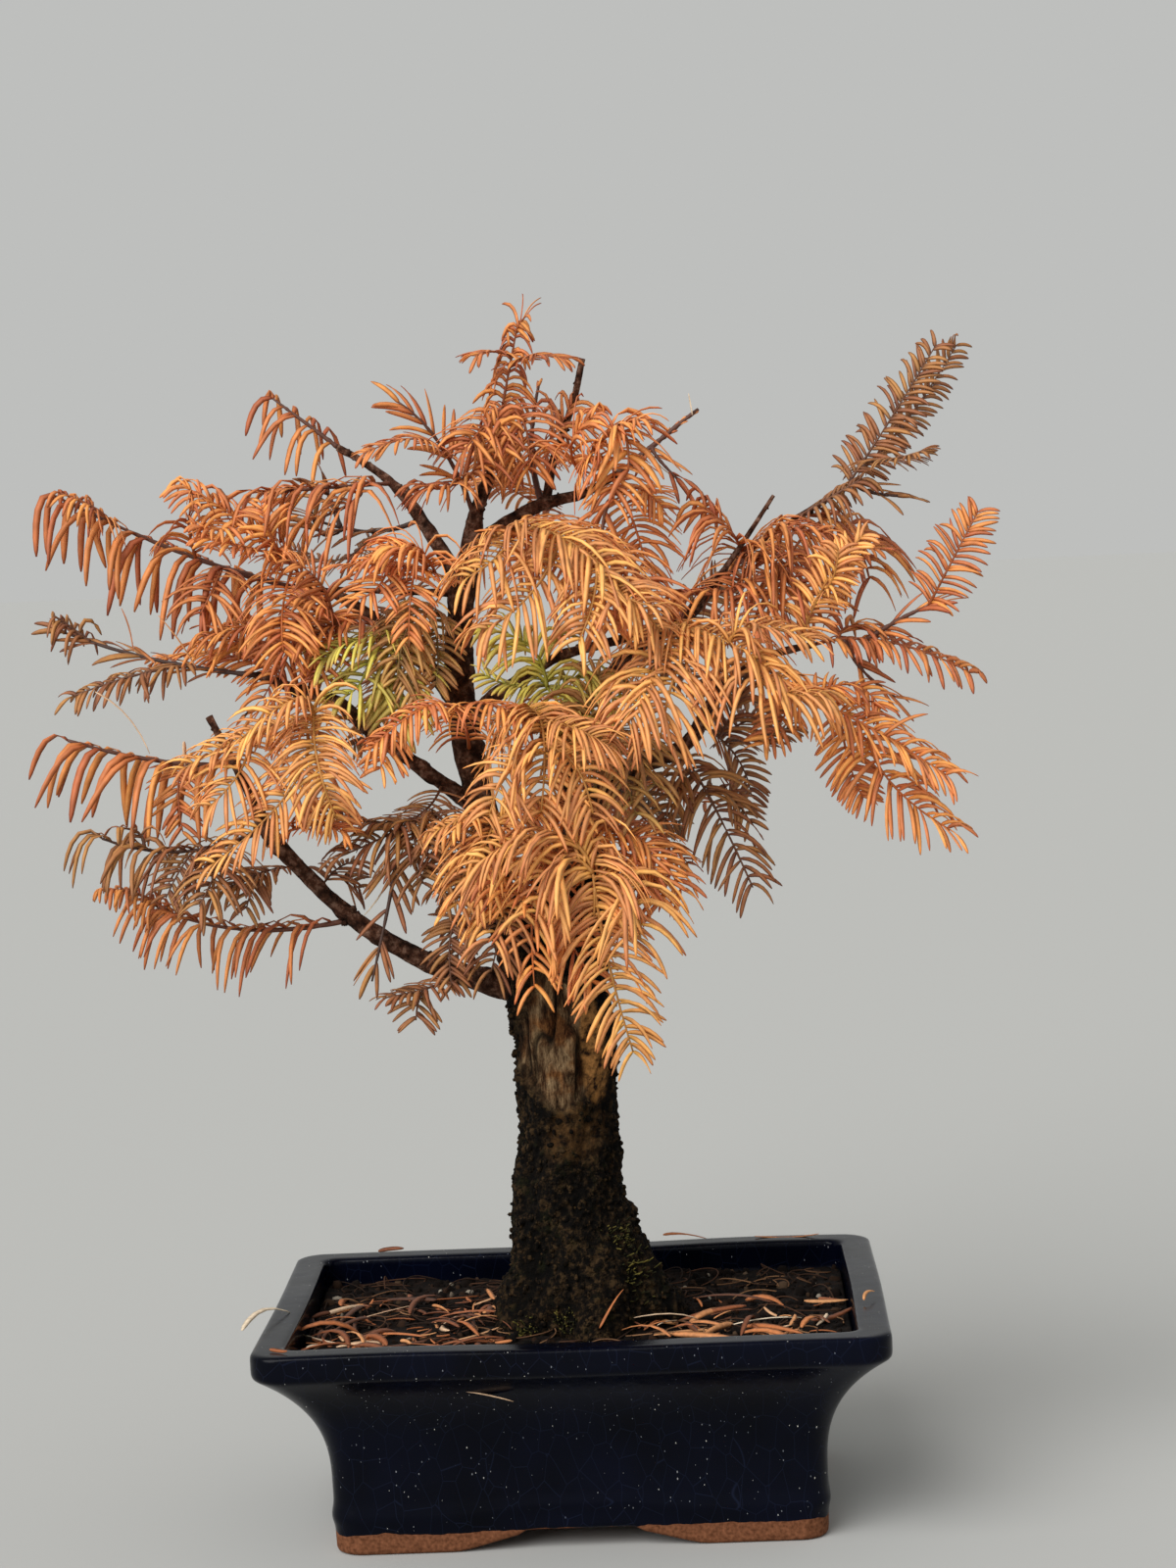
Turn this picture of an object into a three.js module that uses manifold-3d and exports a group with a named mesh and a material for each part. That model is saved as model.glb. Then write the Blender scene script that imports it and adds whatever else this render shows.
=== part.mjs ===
// A dawn redwood bonsai in autumn colour, standing in a glazed rectangular pot. Millimetres, +Z up.
// Every place below is measured from the middle of the pot's underside, +X to the right, +Y to the back.
import * as THREE from "three";
import Module from "manifold-3d";

const wasm = await Module();
wasm.setup();

// Driving dimensions of the pot
const POT_LENGTH = 200;
const POT_DEPTH = 150;
const POT_HEIGHT = 70;
const RIM_WIDTH = 10.5;
const WALL = 7;
const LIP_BOTTOM = 62;
const COVE_BOTTOM = 22;
const COVE_INSET = 21;
const FOOT_HEIGHT = 6.5;
const FOOT_WIDTH = 11;
const FLOOR_TOP = 15;
const CORNER_RADIUS = 9;
const DRAIN_RADIUS = 8;
const DRAIN_SPREAD = 38;

// Driving dimensions of what fills and grows
const SOIL_TOP = 61;
const GAP = 0.35;
const NEEDLE_THICKNESS = 0.7;
const LIMB_SIDES = 6;
const TRUNK_SIDES = 16;

// The trunk from its buried end to its old cut: x, y, z and radius
const TRUNK = [
  [3, 0, 33, 19],
  [3, 0, 48, 26],
  [3, 0, 61, 29.5],
  [2, 0, 69, 27.5],
  [1, 0, 81, 23.5],
  [-1, 0, 93, 19.5],
  [-2, 0, 107, 17.3],
  [-1, 0, 121, 15.5],
  [-1, 0, 142, 15.6],
  [0, 0, 158, 16],
  [-2, 0, 174, 16],
  [1, 1, 187, 15.5],
  [4, 4, 200, 14.5],
  [5, 6, 210, 12.5],
  [5, 6, 214, 8],
];

// The leader, the limbs, the dead stubs and the bare twigs: x, y, z and radius along each
const LIMBS = {
  leader: [
    [-10, -2, 168, 7],
    [-17, -1, 190, 5.6],
    [-22, 2, 220, 4.9],
    [-28, 5, 252, 4.8],
    [-30, 6, 274, 4.7],
    [-28, 6, 298, 4.2],
    [-24, 4, 316, 3.3],
    [-21, 3, 329, 2.4],
    [-16, 2, 340, 1.6],
  ],
  low_left: [
    [-8, -2, 171, 6.4],
    [-24, -4, 175, 4.2],
    [-42, -7, 182, 3.3],
    [-65, -11, 197, 2.8],
    [-82, -15, 215, 2.4],
    [-92, -16, 228, 2.8],
    [-99, -15, 244, 1.6],
    [-110, -12, 266, 1.1],
  ],
  mid_left: [
    [-24, 4, 230, 3.4],
    [-35, 2, 239, 2.5],
    [-46, -1, 248, 2.3],
    [-58, -3, 258, 2.4],
    [-69, -3, 268, 2.3],
    [-80, 0, 272, 1.9],
    [-96, 4, 278, 1.3],
  ],
  high_left: [
    [-30, 6, 266, 4.2],
    [-37, 7, 275, 2.8],
    [-51, 10, 290, 2.4],
    [-61, 12, 297, 2.2],
    [-70, 13, 303, 1.5],
    [-84, 13, 306, 1.2],
  ],
  high_left_twig: [
    [-30, 6, 302, 1.5],
    [-46, 4, 303, 1],
    [-70, 2, 305, 0.8],
  ],
  top_left: [
    [-27, 6, 304, 3],
    [-35, 9, 318, 2.3],
    [-42, 12, 329, 1.9],
    [-49, 15, 338, 1.5],
    [-59, 17, 346, 1.2],
    [-67, 19, 351, 1.1],
  ],
  top_left_stub: [
    [-42, 12, 329, 1.6],
    [-45, 13, 337, 1.1],
  ],
  cross: [
    [-28, 5, 258, 3.2],
    [-19, 1, 267, 2.2],
    [-5, -5, 276, 1.8],
    [6, -8, 281, 1.6],
    [23, -10, 285, 1.5],
    [39, -9, 289, 1.6],
    [44, -8, 290, 1.5],
  ],
  dead_twig: [
    [43, -8, 290, 1.3],
    [52, -7, 299, 1],
    [62, -5, 311, 0.9],
    [75, -2, 329, 0.6],
  ],
  right_back: [
    [5, 6, 200, 7],
    [5, 12, 222, 3.8],
    [4, 15, 246, 2.8],
    [9, 17, 261, 2.5],
    [18, 17, 268, 2.5],
    [25, 16, 279, 2.2],
    [45, 16, 290, 1.8],
    [65, 19, 310, 1.4],
    [88, 21, 324, 1],
    [99, 22, 330, 0.8],
  ],
  right_front: [
    [6, 2, 206, 7],
    [12, -1, 230, 4],
    [22, -4, 241, 2.9],
    [35, -7, 246, 2.5],
    [45, -10, 252, 2.3],
    [51, -12, 262, 1.9],
    [58, -12, 270, 1.6],
    [72, -12, 278, 1.3],
    [86, -13, 281, 1.1],
  ],
  front_low: [
    [4, -2, 204, 5],
    [3, -16, 214, 3],
    [2, -28, 219, 2.2],
    [4, -38, 218, 1.5],
  ],
  apex_stub: [
    [1, 5, 328, 1.8],
    [4, 7, 343, 1.3],
    [8, 8, 353, 1.2],
    [12, 9, 364, 1.1],
    [15, 10, 376, 1],
  ],
  apex_right: [
    [-22, 3, 318, 2.4],
    [-8, 4, 326, 2.1],
    [2, 5, 330, 2.1],
    [15, 6, 333, 1.4],
    [28, 7, 340, 1.2],
  ],
};

// Kinds of leafy stem: radius of the stem, length and width of its needles, distance from pair to
// pair, lean of a needle towards the tip in degrees, and how far it hangs
const FINE = { stem: 0.95, needle: 11, width: 1.7, pitch: 18, lean: 26, hang: 0.6 };
const COMB = { stem: 1, needle: 15, width: 2, pitch: 12, lean: 22, hang: 1.2 };
const FAN = { stem: 1, needle: 19, width: 2.2, pitch: 13.5, lean: 34, hang: 1 };
const ARCH = { stem: 1.05, needle: 26, width: 2.4, pitch: 12.5, lean: 38, hang: 1.4 };
const BROAD = { stem: 1.05, needle: 22, width: 2.6, pitch: 14, lean: 40, hang: 1.2 };
const HANGING = { stem: 1.1, needle: 21, width: 2.2, pitch: 12, lean: 30, hang: 2 };
const LONG = { stem: 1.2, needle: 30, width: 2.7, pitch: 11, lean: 24, hang: 2.4 };
const SPARSE = { stem: 1.1, needle: 16, width: 2, pitch: 16, lean: 52, hang: 0.3 };
const CURLY = { stem: 1, needle: 11, width: 1.6, pitch: 12, lean: 30, hang: 1.6 };
const BARE = { stem: 1.25, needle: 5, width: 1.8, pitch: 16, lean: 60, hang: 0.2 };

// The leafy sprays: autumn tone, then for each stem what it grows from, how far along that is, a point
// that it passes halfway, its tip and its kind. A number in place of a limb is an earlier stem of the
// same spray.
const SPRAYS = {
  low_left_shoot: ["salmon", ["low_left", 0.44, [-100, -18, 197], [-128, -24, 206], HANGING]],
  low_left_hanging: ["brown", ["low_left", 0.73, [-118, -26, 224], [-143, -34, 230], HANGING]],
  upper_low_left_shoot: ["salmon", ["low_left", 0.90, [-127, -18, 253], [-154, -24, 261], LONG]],
  golden_left_outer: [
    "gold",
    ["mid_left", 0.57, [-88, -14, 262], [-116, -30, 251], FAN],
    [0, 0.27, [-81, -32, 245], [-107, -38, 221], FAN],
  ],
  golden_left_inner: ["gold", ["mid_left", 0.77, [-73, -40, 256], [-67, -44, 234], FAN]],
  low_left_bright: ["orange", ["low_left", 0.69, [-77, -30, 231], [-65, -36, 229], FINE]],
  low_left_dark: ["brown", ["low_left", 0.58, [-94, -24, 216], [-110, -30, 209], FINE]],
  low_left_small: ["brown", ["low_left", 0.52, [-72, -6, 214], [-66, 0, 216], FINE]],
  low_left_base: ["brown", ["low_left", 0.22, [-42, -18, 176], [-56, -24, 174], FINE]],
  mid_left_end: [
    "brown",
    ["mid_left", 1.00, [-129, 9, 284], [-159, 12, 294], SPARSE],
    [0, 0.30, [-134, 0, 280], [-155, -4, 274], COMB],
  ],
  mid_left_upper: ["orange", ["mid_left", 0.87, [-105, 14, 284], [-130, 18, 284], FINE]],
  high_left_end: ["salmon", ["high_left", 1.00, [-119, 6, 319], [-157, -4, 339], LONG]],
  high_left_orange: [
    "orange",
    ["high_left", 0.91, [-92, -4, 324], [-114, -10, 340], FAN],
    [0, 0.16, [-84, -14, 300], [-84, -18, 286], FAN],
  ],
  high_left_under: ["salmon", ["high_left_twig", 1.00, [-81, 0, 290], [-93, -4, 271], FAN]],
  high_left_middle: ["salmon", ["high_left", 0.43, [-68, -4, 293], [-86, -10, 285], FAN]],
  leader_olive: ["olive", ["leader", 0.58, [-41, -12, 296], [-48, -18, 276], FAN]],
  yellow_green: ["green", ["high_left", 0.30, [-55, -8, 289], [-72, -14, 283], FAN]],
  top_left_end: ["salmon", ["top_left", 1.00, [-78, 20, 360], [-88, 22, 368], HANGING]],
  top_left_middle: ["salmon", ["top_left", 0.61, [-66, 4, 338], [-90, -4, 337], HANGING]],
  top_left_lower: [
    "brown",
    ["top_left", 0.35, [-57, 14, 323], [-76, 16, 328], SPARSE],
    [0, 0.39, [-69, 24, 314], [-84, 30, 318], FINE],
  ],
  apex_left: [
    "salmon",
    ["leader", 0.84, [-31, -4, 349], [-44, -8, 364], SPARSE],
    [0, 0.33, [-38, -16, 352], [-55, -22, 348], FINE],
  ],
  apex_shoot: ["salmon", ["leader", 0.98, [-11, 2, 363], [-5, 0, 388], CURLY]],
  apex_red_twig: ["salmon", ["apex_right", 0.46, [-3, 14, 347], [0, 18, 368], BARE]],
  apex_right_end: ["salmon", ["apex_right", 1.00, [41, 8, 350], [52, 9, 358], BARE]],
  apex_right_fall: ["orange", ["apex_right", 0.90, [29, -6, 324], [33, -10, 308], FAN]],
  apex_right_arch: ["orange", ["apex_right", 0.66, [20, -14, 348], [33, -26, 354], FAN]],
  right_top: [
    "brown",
    ["right_back", 1.00, [114, 20, 351], [130, 18, 375], FINE],
    [0, 0.12, [118, 36, 348], [139, 44, 376], FINE],
  ],
  right_gold: ["gold", ["right_front", 0.96, [89, -20, 299], [102, -24, 315], FINE]],
  right_back_arch: [
    "salmon",
    ["right_back", 0.75, [73, -2, 308], [86, -8, 295], ARCH],
    [0, 0.24, [60, -12, 300], [46, -18, 299], ARCH],
  ],
  right_back_low: ["salmon", ["right_back", 0.87, [99, 24, 317], [106, 22, 300], ARCH]],
  right_end: ["salmon", ["right_front", 1.00, [109, -16, 281], [135, -18, 270], COMB]],
  right_low: [
    "orange",
    ["right_front", 0.81, [96, -26, 258], [125, -32, 239], FAN],
    [0, 0.57, [107, -28, 238], [126, -28, 221], FAN],
  ],
  right_dark: ["brown", ["right_front", 0.56, [59, -2, 246], [64, 2, 232], FINE]],
  right_droop: ["brown", ["right_front", 0.44, [50, -16, 234], [63, -18, 204], FAN]],
  right_under: ["grey", ["right_front", 0.20, [28, 8, 231], [40, 12, 223], FINE]],
  front_crown: [
    "gold",
    ["leader", 0.71, [3, -34, 321], [37, -50, 289], ARCH],
    [0, 0.54, [-1, -46, 304], [-16, -52, 292], ARCH],
  ],
  front_crown_right: [
    "orange",
    ["apex_right", 0.25, [15, -16, 316], [35, -30, 296], ARCH],
    [0, 0.37, [18, -30, 306], [21, -36, 290], FAN],
  ],
  front_crown_left: ["orange", ["leader", 0.66, [-42, -14, 311], [-65, -20, 313], FINE]],
  front_right_arch: [
    "gold",
    ["cross", 0.72, [49, -38, 288], [74, -52, 273], ARCH],
    [0, 0.35, [35, -50, 278], [26, -56, 261], ARCH],
    [0, 0.47, [41, -52, 275], [36, -56, 257], ARCH],
  ],
  front_middle: [
    "gold",
    ["leader", 0.33, [-4, -36, 265], [-2, -58, 235], ARCH],
    [0, 0.28, [7, -54, 261], [20, -58, 254], FAN],
  ],
  front_middle_left: [
    "orange",
    ["leader", 0.36, [-33, -32, 268], [-56, -38, 255], COMB],
    [0, 0.26, [-19, -36, 268], [-5, -42, 262], COMB],
  ],
  front_middle_right: [
    "olive",
    ["right_front", 0.14, [18, -28, 255], [27, -42, 231], FAN],
    [0, 0.18, [13, -28, 262], [17, -28, 275], FAN],
  ],
  lower_front_left: [
    "gold",
    ["leader", 0.24, [-17, -30, 232], [-26, -46, 211], ARCH],
    [0, 0.10, [-24, -34, 232], [-37, -38, 228], COMB],
    [0, 0.76, [-13, -44, 215], [-20, -48, 194], ARCH],
  ],
  lower_front_centre: [
    "gold",
    ["front_low", 1.00, [12, -56, 219], [13, -60, 202], ARCH],
    [0, 0.79, [17, -58, 186], [23, -52, 158], FAN],
    [0, 0.58, [0, -58, 228], [-23, -60, 219], ARCH],
  ],
  lower_front_right: ["orange", ["front_low", 0.78, [24, -38, 225], [40, -42, 207], FAN]],
  trunk_front_fall: ["orange", ["front_low", 1.00, [-5, -46, 215], [-7, -50, 179], FAN]],
  trunk_left_fall: ["brown", ["leader", 0.19, [-29, -14, 214], [-33, -18, 178], FINE]],
  left_hollow_spray: [
    "brown",
    ["mid_left", 0.19, [-49, -20, 230], [-75, -22, 236], FINE],
    [0, 0.47, [-52, -26, 211], [-60, -28, 180], SPARSE],
  ],
  cross_green: ["green", ["cross", 0.34, [2, -20, 268], [10, -30, 258], FAN]],
  back_left: [
    "brown",
    ["leader", 0.53, [-62, 52, 290], [-92, 84, 287], FINE],
    [0, 0.38, [-59, 70, 269], [-73, 84, 248], FINE],
    [0, 0.27, [-51, 50, 303], [-61, 60, 313], FINE],
  ],
  back_top: [
    "orange",
    ["leader", 0.93, [-18, 40, 345], [-30, 76, 352], FINE],
    [0, 0.30, [1, 62, 344], [13, 80, 343], FINE],
    [0, 0.15, [-12, 40, 335], [0, 60, 327], FINE],
  ],
  back_right: [
    "brown",
    ["right_back", 0.36, [38, 56, 279], [65, 86, 283], FINE],
    [0, 0.56, [59, 66, 301], [80, 80, 310], FINE],
    [0, 0.35, [51, 60, 265], [71, 70, 257], FINE],
  ],
  back_middle: [
    "gold",
    ["right_back", 0.25, [-3, 54, 261], [-25, 88, 253], FINE],
    [0, 0.49, [9, 70, 239], [22, 84, 220], FINE],
  ],
  back_low: [
    "salmon",
    ["right_back", 0.16, [23, 46, 235], [49, 78, 223], FINE],
    [0, 0.50, [5, 68, 215], [-13, 82, 204], FINE],
    [0, 0.34, [29, 50, 220], [42, 56, 205], FINE],
  ],
};

// Fallen needles: for each heap a chain of places that its needles cross, x and y in turn
const LITTER = {
  litter_left: [
    [-76, -26],
    [-64, -17],
    [-55, -28],
    [-46, -16],
    [-37, -30],
    [-30, -38],
  ],
  litter_right: [
    [38, -20],
    [48, -30],
    [57, -19],
    [66, -31],
    [74, -22],
  ],
};
const RIM_NEEDLE = [
  [-106, -40],
  [-100, -27],
  [-93, -14],
];

const TONES = {
  salmon: "#c76c47",
  orange: "#cf7c3d",
  gold: "#d59647",
  brown: "#7e4b2d",
  olive: "#7b6a2a",
  green: "#9c9a3c",
  grey: "#75604f",
};

const UP = new THREE.Vector3(0, 0, 1);

const vec = (place) => new THREE.Vector3(place[0], place[1], place[2]);

// Evenly scattered shares from 0 to 1: steps of the golden section, the same on every run
const scatter = (index) => (index * 0.618034) % 1;

// A closed solid of vertices and triangles.
function solidOf(vertices, triangles) {
  return new wasm.Manifold(
    new wasm.Mesh({
      numProp: 3,
      vertProperties: new Float32Array(vertices.flatMap((v) => v.toArray())),
      triVerts: new Uint32Array(triangles.flat()),
    }),
  );
}

// A closed solid through rings of equal length, counter-clockwise about the way they follow each other.
function loft(rings) {
  const sides = rings[0].length;
  const last = (rings.length - 1) * sides;
  const triangles = [];
  for (let start = 0; start < last; start += sides) {
    for (let i = 0; i < sides; i++) {
      const a = start + i;
      const b = start + ((i + 1) % sides);
      triangles.push([a, b, b + sides], [a, b + sides, a + sides]);
    }
  }
  for (let i = 1; i + 1 < sides; i++) {
    triangles.push([0, i + 1, i], [last, last + i, last + i + 1]);
  }
  return solidOf(rings.flat(), triangles);
}

const joined = (solids) => solids.reduce((whole, next) => whole.add(next));

// The two directions across a tangent: sideways, and the one that faces as "facing" does.
function across(tangent, facing) {
  const side = new THREE.Vector3().crossVectors(facing, tangent).normalize();
  return { side, face: new THREE.Vector3().crossVectors(tangent, side) };
}

// A ring of points about a centre, across a tangent, the first one turned from the side by "turn".
function ringAcross(centre, tangent, facing, radii, turn = 0) {
  const { side, face } = across(tangent, facing);
  return radii.map((radius, i) => {
    const angle = turn + (2 * Math.PI * i) / radii.length;
    return centre
      .clone()
      .addScaledVector(side, radius * Math.cos(angle))
      .addScaledVector(face, radius * Math.sin(angle));
  });
}

// Pot
// A ring of the pot's rounded-rectangle outline at a height, moved in by an inset on every side.
function potRing(inset, z, radius) {
  const halfX = POT_LENGTH / 2 - inset - radius;
  const halfY = POT_DEPTH / 2 - inset - radius;
  const cornerSteps = 3;
  const ring = [];
  for (let corner = 0; corner < 4; corner++) {
    const signX = corner === 0 || corner === 3 ? 1 : -1;
    const signY = corner < 2 ? 1 : -1;
    for (let step = 0; step <= cornerSteps; step++) {
      const angle = (Math.PI / 2) * (corner + step / cornerSteps);
      const x = signX * halfX + radius * Math.cos(angle);
      const y = signY * halfY + radius * Math.sin(angle);
      ring.push(new THREE.Vector3(x, y, z));
    }
  }
  return ring;
}

// How far the outside stands in from the rim at a height: an upright lip over a cove that runs down
// into nearly straight walls.
function outerInset(z) {
  if (z >= LIP_BOTTOM) return 0;
  if (z <= COVE_BOTTOM) return COVE_INSET + (0.5 * (COVE_BOTTOM - z)) / COVE_BOTTOM;
  return COVE_INSET * (1 - ((z - COVE_BOTTOM) / (LIP_BOTTOM - COVE_BOTTOM)) ** 2.5);
}

const innerInset = (z) => Math.max(RIM_WIDTH, outerInset(z) + WALL);

// A prism under a side of the pot that leaves the arched gap between two feet.
function footGap(halfTop, halfBottom, alongX) {
  const profile = [
    [-halfBottom, -1],
    [halfBottom, -1],
    [halfBottom * 0.9, 0.8],
    [halfTop * 1.15, FOOT_HEIGHT * 0.75],
    [halfTop, FOOT_HEIGHT],
    [-halfTop, FOOT_HEIGHT],
    [-halfTop * 1.15, FOOT_HEIGHT * 0.75],
    [-halfBottom * 0.9, 0.8],
  ];
  return loft(
    [POT_LENGTH, -POT_LENGTH].map((end) =>
      profile.map(([middle, z]) =>
        alongX ? new THREE.Vector3(-end, middle, z) : new THREE.Vector3(middle, end, z),
      ),
    ),
  );
}

function pot() {
  const outerHeights = [0, FOOT_HEIGHT, COVE_BOTTOM, 33, 42, 50, 56, 60, LIP_BOTTOM, 69.2];
  const outside = outerHeights.map((z) => potRing(outerInset(z), z, CORNER_RADIUS));
  outside.push(potRing(0.9, POT_HEIGHT, CORNER_RADIUS - 0.9));
  const innerHeights = [FLOOR_TOP, 24, 36, 46, 54, 60, POT_HEIGHT + 1];
  const inside = innerHeights.map((z) => potRing(innerInset(z), z, CORNER_RADIUS - 4));
  const underside = [-1, FOOT_HEIGHT].map((z) => potRing(COVE_INSET + FOOT_WIDTH, z, 3));
  let body = loft(outside).subtract(loft(inside)).subtract(loft(underside));
  body = body.subtract(footGap(17, 39, false)).subtract(footGap(12, 26, true));
  for (const side of [-1, 1]) {
    const drain = [0, FLOOR_TOP + 1].map((z) =>
      ringAcross(
        new THREE.Vector3(side * DRAIN_SPREAD, 0, z),
        UP,
        new THREE.Vector3(1, 0, 0),
        Array(12).fill(DRAIN_RADIUS),
      ),
    );
    body = body.subtract(loft(drain));
  }
  return body;
}

// Wood
// The trunk's outline at a height: root swellings that fade upwards, and bark ridges. "grow" makes the
// plain hole that it stands in.
function trunkRing([x, y, z, radius], grow) {
  const flare = 0.16 * Math.exp(-Math.max(0, z - SOIL_TOP) / 16);
  const radii = [];
  for (let i = 0; i < TRUNK_SIDES; i++) {
    const angle = (2 * Math.PI * i) / TRUNK_SIDES;
    const roots = flare * Math.cos(5 * angle + 0.6);
    const bark = 0.035 * Math.sin(3 * angle + 0.06 * z) + 0.03 * Math.sin(7 * angle - 0.21 * z);
    radii.push(radius * (1 + roots + bark) + grow);
  }
  return ringAcross(new THREE.Vector3(x, y, z), UP, new THREE.Vector3(0, -1, 0), radii);
}

// Place, tangent and radius at a share of the way along a limb.
function limbAt(limb, share) {
  return {
    place: limb.curve.getPoint(share),
    tangent: limb.curve.getTangent(share),
    radius: limb.radiusCurve.getPoint(share).x,
  };
}

function makeLimb(route) {
  return {
    count: route.length,
    curve: new THREE.CatmullRomCurve3(route.map(vec), false, "catmullrom"),
    radiusCurve: new THREE.CatmullRomCurve3(
      route.map((row) => new THREE.Vector3(row[3], 0, 0)),
      false,
      "catmullrom",
    ),
  };
}

const limbs = Object.fromEntries(
  Object.entries(LIMBS).map(([name, route]) => [name, makeLimb(route)]),
);

// The world direction that lies furthest from the way a limb runs, which its rings are laid out from.
function steadyFacing(curve) {
  const run = curve.getPoint(1).sub(curve.getPoint(0));
  return Math.abs(run.y) < Math.abs(run.z) || Math.abs(run.y) < Math.abs(run.x)
    ? new THREE.Vector3(0, 1, 0)
    : UP;
}

function limbSolid(limb) {
  const steps = Math.round(1.3 * (limb.count - 1));
  const facing = steadyFacing(limb.curve);
  const rings = [];
  for (let i = 0; i <= steps; i++) {
    const { place, tangent, radius } = limbAt(limb, i / steps);
    const radii = [];
    for (let side = 0; side < LIMB_SIDES; side++) {
      radii.push(radius * (1 + 0.08 * (scatter(7 * i + 3 * side) - 0.5)));
    }
    rings.push(ringAcross(place, tangent, facing, radii));
  }
  return loft(rings);
}

function wood() {
  const trunk = loft(TRUNK.map((row) => trunkRing(row, 0)));
  return joined([trunk, ...Object.values(limbs).map(limbSolid)]);
}

// Soil
// Low swells of the soil's surface.
const soilHeight = (x, y) => SOIL_TOP + 0.7 * Math.sin(x / 11 + 1) * Math.cos(y / 9 + x / 30);

function soil() {
  const walls = [FLOOR_TOP + GAP, 24, 36, 46, 54, SOIL_TOP - 1.5];
  const rings = walls.map((z) => potRing(innerInset(z) + GAP + 0.15, z, CORNER_RADIUS - 4));
  const edge = rings[rings.length - 1];
  for (const share of [0.985, 0.8, 0.6, 0.42, 0.2]) {
    const ring = edge.map((p) => {
      const x = p.x * share;
      const y = p.y * share;
      return new THREE.Vector3(x, y, soilHeight(x, y));
    });
    rings.push(ring);
  }
  const hole = TRUNK.slice(0, 4).map((row) => trunkRing(row, GAP + 0.3));
  return loft(rings).subtract(loft(hole));
}

// Clearance
// Every stretch of stem and needle so far, as a rod with a radius and the node that it belongs to
const rods = [];

function addRods(points, radii, owner) {
  for (let i = 0; i + 1 < points.length; i++) {
    const radius = Math.max(radii[i], radii[i + 1]);
    rods.push({ line: new THREE.Line3(points[i], points[i + 1]), radius, owner });
  }
}

// Least distance between two straight stretches.
function stretchDistance(a, b) {
  const u = a.delta(new THREE.Vector3());
  const v = b.delta(new THREE.Vector3());
  const w = a.start.clone().sub(b.start);
  const uu = u.dot(u);
  const uv = u.dot(v);
  const vv = v.dot(v);
  const uw = u.dot(w);
  const vw = v.dot(w);
  const spread = uu * vv - uv * uv;
  let s = spread > 1e-9 ? THREE.MathUtils.clamp((uv * vw - vv * uw) / spread, 0, 1) : 0;
  const t = THREE.MathUtils.clamp((uv * s + vw) / vv, 0, 1);
  s = THREE.MathUtils.clamp((uv * t - uw) / uu, 0, 1);
  return w.addScaledVector(u, s).addScaledVector(v, -t).length();
}

// Whether a chain of points keeps clear of every other node's rods.
function isClear(points, radius, owner) {
  for (let i = 0; i + 1 < points.length; i++) {
    const line = new THREE.Line3(points[i], points[i + 1]);
    for (const rod of rods) {
      if (rod.owner === owner) continue;
      if (stretchDistance(line, rod.line) < radius + rod.radius + GAP) return false;
    }
  }
  return true;
}

for (const [index, row] of TRUNK.entries()) {
  if (index) addRods([vec(TRUNK[index - 1]), vec(row)], [TRUNK[index - 1][3], row[3]], "wood");
}
for (const limb of Object.values(limbs)) {
  const steps = 4 * (limb.count - 1);
  const along = Array.from({ length: steps + 1 }, (_, i) => limbAt(limb, i / steps));
  addRods(along.map((at) => at.place), along.map((at) => 1.04 * at.radius), "wood");
}

// Sprays
// A stem's curve from what it grows from, through its halfway point, to its tip.
function stemCurve(base, halfway, tip) {
  const bend = halfway.clone().multiplyScalar(2).addScaledVector(base, -0.5).addScaledVector(tip, -0.5);
  return new THREE.QuadraticBezierCurve3(base, bend, tip);
}

// The share of the way along a stem from which it has left the wood.
function leavesWoodAt(curve, radius, owner) {
  let share = 0;
  while (share < 0.6) {
    const stretch = [curve.getPoint(share), curve.getPoint(share + 0.02)];
    if (isClear(stretch, radius, owner)) return share;
    share += 0.01;
  }
  return share;
}

// The way a leafy stem's flat side faces: up, and to the nearer outside where the stem is steep.
function stemFacing(tangent, tip) {
  const outwards = tip.y > 30 ? 1 : -1;
  return new THREE.Vector3(0, 1.5 * outwards * Math.abs(tangent.z), 1);
}

// The middle line of a needle, bent once: it sets off along a direction and hangs more further out.
function needleLine(root, direction, length, hang) {
  const points = [root];
  for (const [share, part] of [
    [0.2, 0.45],
    [0.75, 0.55],
  ]) {
    const heading = direction.clone().addScaledVector(UP, -hang * share).normalize();
    points.push(points[points.length - 1].clone().addScaledVector(heading, part * length));
  }
  return points;
}

// A three-sided needle, broad where it bends and drawn out to a point at both ends. Its root is sunk
// past the middle of the stem by "sunk".
function needleSolid([root, middle, tip], width, sunk, facing) {
  const tangent = middle.clone().sub(root).normalize();
  const { side, face } = across(tangent, facing);
  const half = width / 2;
  const vertices = [
    root.clone().addScaledVector(tangent, -sunk),
    middle.clone().addScaledVector(side, half).addScaledVector(face, -NEEDLE_THICKNESS / 2),
    middle.clone().addScaledVector(face, NEEDLE_THICKNESS / 2),
    middle.clone().addScaledVector(side, -half).addScaledVector(face, -NEEDLE_THICKNESS / 2),
    tip,
  ];
  const triangles = [
    [0, 2, 1],
    [0, 3, 2],
    [0, 1, 3],
    [1, 2, 4],
    [2, 3, 4],
    [3, 1, 4],
  ];
  return solidOf(vertices, triangles);
}

// Needle lengths swell from the foot of a stem to its middle and fall to half at its tip.
const lengthShare = (share) => 0.5 + 0.5 * Math.sin(Math.PI * (0.25 + 0.75 * share));

// The straight stretches that a stem's core is made of: places along its curve once it has left the wood.
function stemSpine(curve, from) {
  const steps = Math.max(3, Math.round((curve.getLength() * (1 - from)) / 16));
  return Array.from({ length: steps + 1 }, (_, i) => curve.getPoint(from + ((1 - from) * i) / steps));
}

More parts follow.
